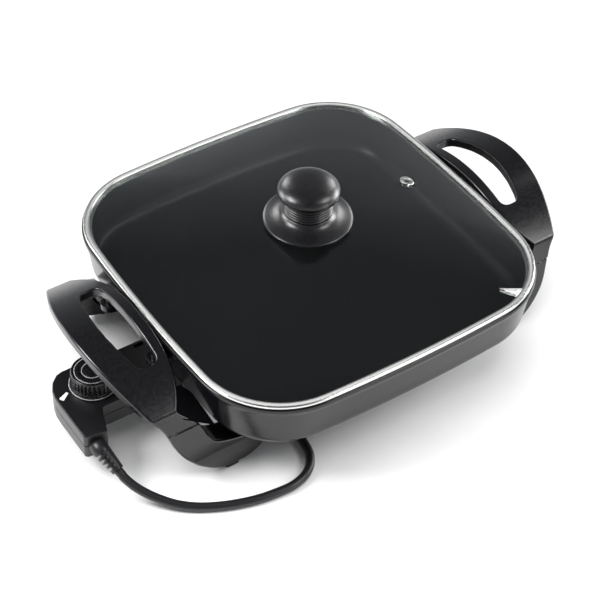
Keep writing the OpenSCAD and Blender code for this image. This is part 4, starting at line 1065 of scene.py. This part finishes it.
plug = make_piece("plug_moulding", *loft([plug_loop(*row) for row in plug_steps]), crisp=38)
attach(plug, "skillet")
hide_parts("plug_body")
print("plug is", plug_steps[-1][0], "mm long with its boot")

# %% [markdown]
# ## Making a material
# Every finish starts from what the surface really is and how it was made. One
# function adds a node with its options, its fixed numbers and its links. A
# second one lays a noise of a real size in millimetres over the piece and lets
# colour, gloss and fine relief follow it, because on a real moulding or
# casting the three vary together. Die grit, spray grain and drawing lines are
# finer than 0.2 mm and can't show in a view of the whole skillet, so they are
# drawn 0.3 to 0.9 mm across, just coarse enough to break up the highlights.

# %% Material helpers
def linear(colour):
    """An sRGB colour such as #1a1a1c as linear red, green, blue and alpha."""
    parts = [int(colour[i:i + 2], 16) / 255 for i in (1, 3, 5)]
    return tuple(v / 12.92 if v <= 0.04045 else ((v + 0.055) / 1.055) ** 2.4 for v in parts) + (1.0,)


def add(tree, kind, sockets=None, **options):
    """Adds one node; sockets holds its inputs as numbers, colours or links."""
    node = tree.nodes.new("ShaderNode" + kind)
    for key, value in options.items():
        setattr(node, key, value)
    for key, value in (sockets or {}).items():
        if isinstance(value, bpy.types.NodeSocket):
            tree.links.new(value, node.inputs[key])
        else:
            node.inputs[key].default_value = value
    return node


def finish(name, low, high, grain_mm, rough, bump_um, stretch=(1, 1, 1), detail=2.0, fixed=None):
    """A finish whose colour, gloss and relief follow one noise with grains of a real size."""
    material = bpy.data.materials.new(name)
    material.use_nodes = True
    tree = material.node_tree
    tree.nodes.clear()
    where = add(tree, "TexCoord")
    scale = tuple(s / (grain_mm * MM) for s in stretch)
    laid = add(tree, "Mapping", {"Vector": where.outputs["Object"], "Scale": scale})
    noise = add(tree, "TexNoise", {"Vector": laid.outputs["Vector"], "Scale": 1.0, "Detail": detail,
                                   "Roughness": 0.55})
    spread = add(tree, "MapRange", {"Value": noise.outputs["Fac"], "From Min": 0.32, "From Max": 0.68})
    ramp = add(tree, "ValToRGB", {"Fac": spread.outputs["Result"]})
    ramp.color_ramp.elements[0].color, ramp.color_ramp.elements[1].color = linear(low), linear(high)
    gloss = add(tree, "MapRange", {"Value": spread.outputs["Result"], "To Min": rough[0],
                                   "To Max": rough[1]})
    relief_node = add(tree, "Bump", {"Height": spread.outputs["Result"], "Distance": bump_um * 1e-6,
                                     "Strength": 1.0})
    sockets = {"Base Color": ramp.outputs["Color"], "Roughness": gloss.outputs["Result"],
               "Normal": relief_node.outputs["Normal"]}
    sockets.update(fixed or {})
    shader = add(tree, "BsdfPrincipled", sockets)
    add(tree, "OutputMaterial", {"Surface": shader.outputs["BSDF"]})
    return material


print("mid grey #808080 is", round(linear("#808080")[0], 3), "in linear light")


def dress(material, slot, *names):
    """Gives pieces and CAD nodes a material; slot is not used."""
    for name in names:
        piece = bpy.data.objects[name]
        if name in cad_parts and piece.material_slots:
            for place in piece.material_slots:
                place.material = material
        else:
            piece.data.materials.clear()
            piece.data.materials.append(material)
    print(material.name, "on", ", ".join(names))


# %% [markdown]
# ## Black finishes
# Nearly every surface here is black, so gloss has to tell them apart. Each is
# a little lighter than pure black, as real pigment is, and its roughness comes
# from how it was made: in a polished or a blasted die, by spraying, or in an
# oven. One black with one roughness would turn it all into one lump.

# %% Phenolic, enamel and non-stick coat
# Phenolic from a polished die: deep black with a clear gloss that waves a little.
dress(finish("phenolic_moulded", "#08080a", "#0e0e11", 2.4, (0.2, 0.27), 4, fixed={"IOR": 1.6}),
      "handle_phenolic", "grip_left", "grip_right", "handle_webs_left", "handle_webs_right")
# The same resin from a satin die: its highlights spread wider, so the knob looks round.
dress(finish("phenolic_satin", "#09090b", "#0f0f12", 1.6, (0.28, 0.36), 5, fixed={"IOR": 1.6}),
      "knob_phenolic", "knob_moulding", "knob_flare")
# From a blasted die, under the pan: dull and greyer, with no clear highlight.
dress(finish("phenolic_matt", "#131314", "#1c1c1e", 0.9, (0.48, 0.6), 14, fixed={"IOR": 1.6}),
      "guard_phenolic", "terminal_guard", "terminal_block")
# Enamel baked on the casting: it mirrors the room, softened by its orange peel.
dress(finish("enamel_baked", "#0b0b0e", "#111115", 3.2, (0.16, 0.24), 7, fixed={"IOR": 1.45}),
      "pan_enamel", "pan_casting", "pan_lugs")
# Non-stick coat sprayed on grit: a dark grey sheen that blurs what it mirrors.
nonstick = finish("ptfe_nonstick", "#0e0e10", "#17171a", 0.7, (0.36, 0.5), 8, fixed={"IOR": 1.38})
pan.data.materials.append(nonstick)

# The coat lies on all bands past the outside loops and on the floor, the very last face.
outside_faces = (len(outside) - 1) * len(outside[0])
inner_floor = len(pan.data.polygons) - 1
underside = inner_floor - 1
for face in pan.data.polygons:
    coated = outside_faces <= face.index < underside or face.index == inner_floor
    face.material_index = 1 if coated else 0
print("non-stick coat on", inner_floor - outside_faces, "faces")

# %% Plastics and rubber
# ABS from a spark-eroded die: a fine grit dulls the casing's gloss.
dress(finish("abs_spark_textured", "#08080a", "#0f0f12", 0.6, (0.28, 0.38), 6, fixed={"IOR": 1.54}),
      "casing_abs", "casing_cover", "casing_base", "dial_collar")
# ABS from a polished die: thin bright lines on the dial's flutes.
dress(finish("abs_gloss", "#08080a", "#0e0e10", 1.2, (0.22, 0.3), 3, fixed={"IOR": 1.54}),
      "dial_abs", "dial_moulding")
# Extruded rubber: black with a soft light along the top of each bend.
dress(finish("rubber_sheath", "#121214", "#1b1b1e", 0.8, (0.34, 0.46), 12, fixed={"IOR": 1.52}),
      "cord_rubber", "mains_cord", "cord_relief", "cord_end")
# PVC moulded round the plug: a little greyer and duller than the cord.
dress(finish("pvc_moulded", "#141416", "#1d1d20", 0.7, (0.38, 0.5), 14, fixed={"IOR": 1.54}),
      "plug_pvc", "plug_moulding")
# Silicone rubber: dull dark grey with hardly any reflection.
dress(finish("silicone_rubber", "#2c2c2e", "#38383a", 0.8, (0.55, 0.68), 16, fixed={"IOR": 1.43}),
      "seal_rubber", "knob_seal", "foot_pads")
# Nylon strip: dark grey and waxy.
dress(finish("nylon_tie", "#1a1a1c", "#242427", 0.9, (0.4, 0.5), 8, fixed={"IOR": 1.53}),
      "tie_nylon", "cord_tie")

# %% [markdown]
# ## Metals
# A metal shows only what it mirrors, so its base colour is the tint of its
# reflections, and its roughness is what buffing, plating or casting left.
# Lines from drawing or rolling are the same noise, stretched along the way the
# metal moved. The IOR stays at its default.

# %% Metals that show
metal = {"Metallic": 1.0}
# Stainless steel, pressed and buffed: white where it mirrors a lamp, grey elsewhere.
dress(finish("stainless_polished", "#e2e2de", "#ececea", 1.2, (0.22, 0.28), 0.5, fixed=metal),
      "rim_steel", "lid_rim_strip", "vent_eyelet_ring")
# Silver foil on plastic, drawn only partly metal: the rest is a light grey painted sheen, so it stays
# silver from all sides.
dress(finish("silver_foil_painted_sheen", "#b4b5b8", "#cccdd0", 0.8, (0.4, 0.5), 1, fixed={"Metallic": 0.35}),
      "dial_abs", "dial_rings", "collar_trim")
# Zinc plate: cool grey and slightly cloudy.
dress(finish("zinc_plated", "#a9adb3", "#c6c9cd", 1.8, (0.28, 0.42), 3, fixed=metal),
      "zinc_steel", "element_clips", "clip_screws", "guard_screws", "handle_screws", "foot_screws",
      "knob_washer", "knob_screw", "casing_screws", "stack_rivet", "dial_spindle")
# Stamped brass: yellow, with soft edges to its reflections.
dress(finish("brass_stamped", "#b8914a", "#d4b06a", 1.4, (0.24, 0.36), 3, fixed=metal),
      "contact_brass", "socket_sleeves", "contact_arm", "plug_pins")

# %% Metals under the pan and in the control
# Steel sheath tinted by heat: brown and dull, in blotches about 5 mm across.
dress(finish("steel_heat_tinted", "#4d4743", "#7a7068", 5.0, (0.38, 0.52), 6, detail=4, fixed=metal),
      "element_steel", "heating_element")
# Nickel plate: warm and bright.
dress(finish("nickel_plated", "#bdb9b0", "#d0ccc3", 1.5, (0.18, 0.28), 2, fixed=metal),
      "pin_steel", "terminal_pins")
# Cast aluminium: pale, grainy and blurred.
dress(finish("aluminium_cast", "#96979a", "#b9babd", 0.6, (0.42, 0.58), 18, fixed=metal),
      "sleeve_aluminium", "probe_sleeve")
# Drawn steel: bright, with fine lines along the tube.
dress(finish("steel_drawn", "#b3b3b0", "#cfcfcc", 0.3, (0.2, 0.32), 2, (0.04, 1, 1), fixed=metal),
      "probe_steel", "probe_tube")
# Yellow chromate on steel: straw yellow in soft patches.
dress(finish("steel_yellow_chromate", "#a08f5c", "#c4b483", 2.6, (0.3, 0.44), 3, fixed=metal),
      "frame_steel", "thermostat_frame")
# Rolled bimetal: warm grey, with fine lines along the blade.
dress(finish("bimetal_rolled", "#8d8780", "#aaa49c", 0.35, (0.26, 0.38), 2, (1, 0.05, 1), fixed=metal),
      "bimetal", "bimetal_blade")

# %% [markdown]
# ## Light materials and glass
# Ceramic, nylon and acrylic are pale and scatter the light. The lamp and the
# lid let most of it through instead. The lid waves by only 3 micrometres over
# 40 mm, or the pan under it would look frosted.

# %% Light materials and glass
# Fired steatite: off-white and chalky.
dress(finish("steatite_fired", "#ded6c6", "#efe9dc", 0.7, (0.5, 0.64), 14, fixed={"IOR": 1.57}),
      "ceramic", "pin_insulators", "insulator_stack")
# Opal acrylic: a clean, glossy white that reads as a mark on black.
dress(finish("acrylic_white", "#ecebe6", "#f6f5f1", 1.5, (0.16, 0.24), 2, fixed={"IOR": 1.49}),
      "lens_white", "index_mark")
# Natural nylon: ivory and waxy.
dress(finish("nylon_natural", "#cfc8b8", "#e0dacc", 0.9, (0.42, 0.54), 10, fixed={"IOR": 1.53}),
      "clamp_nylon", "cord_clamp")
# Silicone-coated braid: brick red and uneven.
dress(finish("silicone_braid_red", "#7d2a22", "#a8483c", 0.5, (0.45, 0.6), 20, fixed={"IOR": 1.43}),
      "lead_insulation", "inner_leads")
# Neon lamp: clear glass with an orange tint.
dress(finish("neon_lamp_glass", "#ffb994", "#ffc9a8", 1.0, (0.04, 0.08), 1,
             fixed={"IOR": 1.5, "Transmission Weight": 0.85}),
      "lamp_glass", "pilot_lamp")
# Tempered glass: next to no colour, with sharp reflections.
dress(finish("glass_tempered", "#eef4f2", "#f4f8f6", 40, (0.0, 0.015), 3,
             fixed={"IOR": 1.52, "Transmission Weight": 1.0}),
      "lid_glass", "lid_glass_dome")

# %% [markdown]
# ## Floor and studio light
# A shiny black object shows what stands round it more than its own colour, so
# its light is placed for its reflections. The floor gets an even light from
# above that no surface mirrors, like an overcast sky behind a diffuser. Small
# soft boxes then draw the edges. The surround is pale at the horizon and dim
# overhead, because every flat top mirrors the part of it at mid height.

# %% Floor and even light
world = bpy.data.worlds.new("studio")
scene.world = world
world.use_nodes = True
sky = world.node_tree
backdrop = sky.nodes["Background"]
backdrop.inputs["Color"].default_value = (0.92, 0.94, 1.0, 1)
at_horizon, overhead = 0.45, 0.12
height = add(sky, "SeparateXYZ", {"Vector": add(sky, "TexCoord").outputs["Generated"]})
pale = add(sky, "MapRange", {"Value": height.outputs["Z"], "From Min": 0.05, "From Max": 0.75,
                             "To Min": at_horizon, "To Max": overhead})
sky.links.new(pale.outputs["Result"], backdrop.inputs["Strength"])
scene.view_settings.view_transform = "Standard"

overcast = bpy.data.objects.new("overcast", bpy.data.lights.new("overcast", "SUN"))
overcast.data.energy, overcast.data.angle = 2.1, math.radians(50)
overcast.visible_glossy = overcast.visible_transmission = False
scene.collection.objects.link(overcast)

far = 8000
floor = make_piece("floor", [(-far, -far, 0), (far, -far, 0), (far, far, 0), (-far, far, 0)],
                   [(0, 1, 2, 3)])
# Matt paint: pale enough to light the object from below, with no reflections of its own.
floor.data.materials.append(finish("floor_pale", "#efefee", "#f3f3f2", 60, (0.7, 0.8), 5))
print("even light", overcast.data.energy, "W per square metre")

# %% [markdown]
# ## Lamps for the edges
# In a studio a lamp is shaded off what it must not touch, and a polarising
# filter takes its image off glass but not off metal. Light linking does the
# same here: the lamps for the steel rim and for the knob reach nothing else.

# %% Soft boxes
def only_on(name, *pieces):
    """A set of pieces that a lamp may light."""
    lit = bpy.data.collections.new(name)
    for piece in pieces:
        lit.objects.link(bpy.data.objects[piece])
    return lit


def soft_light(name, place, size, watts, aim=(0, 0, 0), lit=None):
    """A square lamp in metres; lit is the set that it reaches, or everything."""
    lamp = bpy.data.objects.new(name, bpy.data.lights.new(name, "AREA"))
    lamp.data.energy, lamp.data.size = watts, size
    lamp.location = place
    lamp.visible_camera = False
    lamp.rotation_euler = (Vector(aim) - Vector(place)).to_track_quat("-Z", "Y").to_euler()
    lamp.light_linking.receiver_collection = lit
    scene.collection.objects.link(lamp)
    print(name, watts, "W")


trims = only_on("trims", "lid_rim_strip", "vent_eyelet_ring", "dial_rings", "collar_trim", "index_mark")
knob_parts = only_on("knob_parts", "knob_moulding", "knob_flare")
soft_light("over_trims", (0.3, 0.7, 1.7), 1.6, 7, lit=trims)
soft_light("knob_left", (-0.9, 1.0, 0.3), 0.7, 9, lit=knob_parts)
soft_light("knob_right", (1.2, -0.35, 0.3), 0.6, 8, lit=knob_parts)
soft_light("flare_left", (0.0, 1.3, 0.75), 0.5, 7, lit=knob_parts)
soft_light("flare_right", (1.15, 0.42, 0.68), 0.5, 7, lit=knob_parts)
soft_light("front_right", (0.8, -0.9, 1.2), 0.6, 9)
soft_light("left_low", (-0.6, 0.2, 0.6), 0.3, 6, (-0.25, 0, 0))
soft_light("left_back", (-0.95, 1.05, 0.35), 0.4, 3)
soft_light("right_low", (1.4, -0.2, 0.4), 0.6, 11)
soft_light("right_high", (1.0, 0.175, 1.055), 0.07, 0.2)
soft_light("front_low", (0.6, -1.4, 0.25), 0.5, 3)
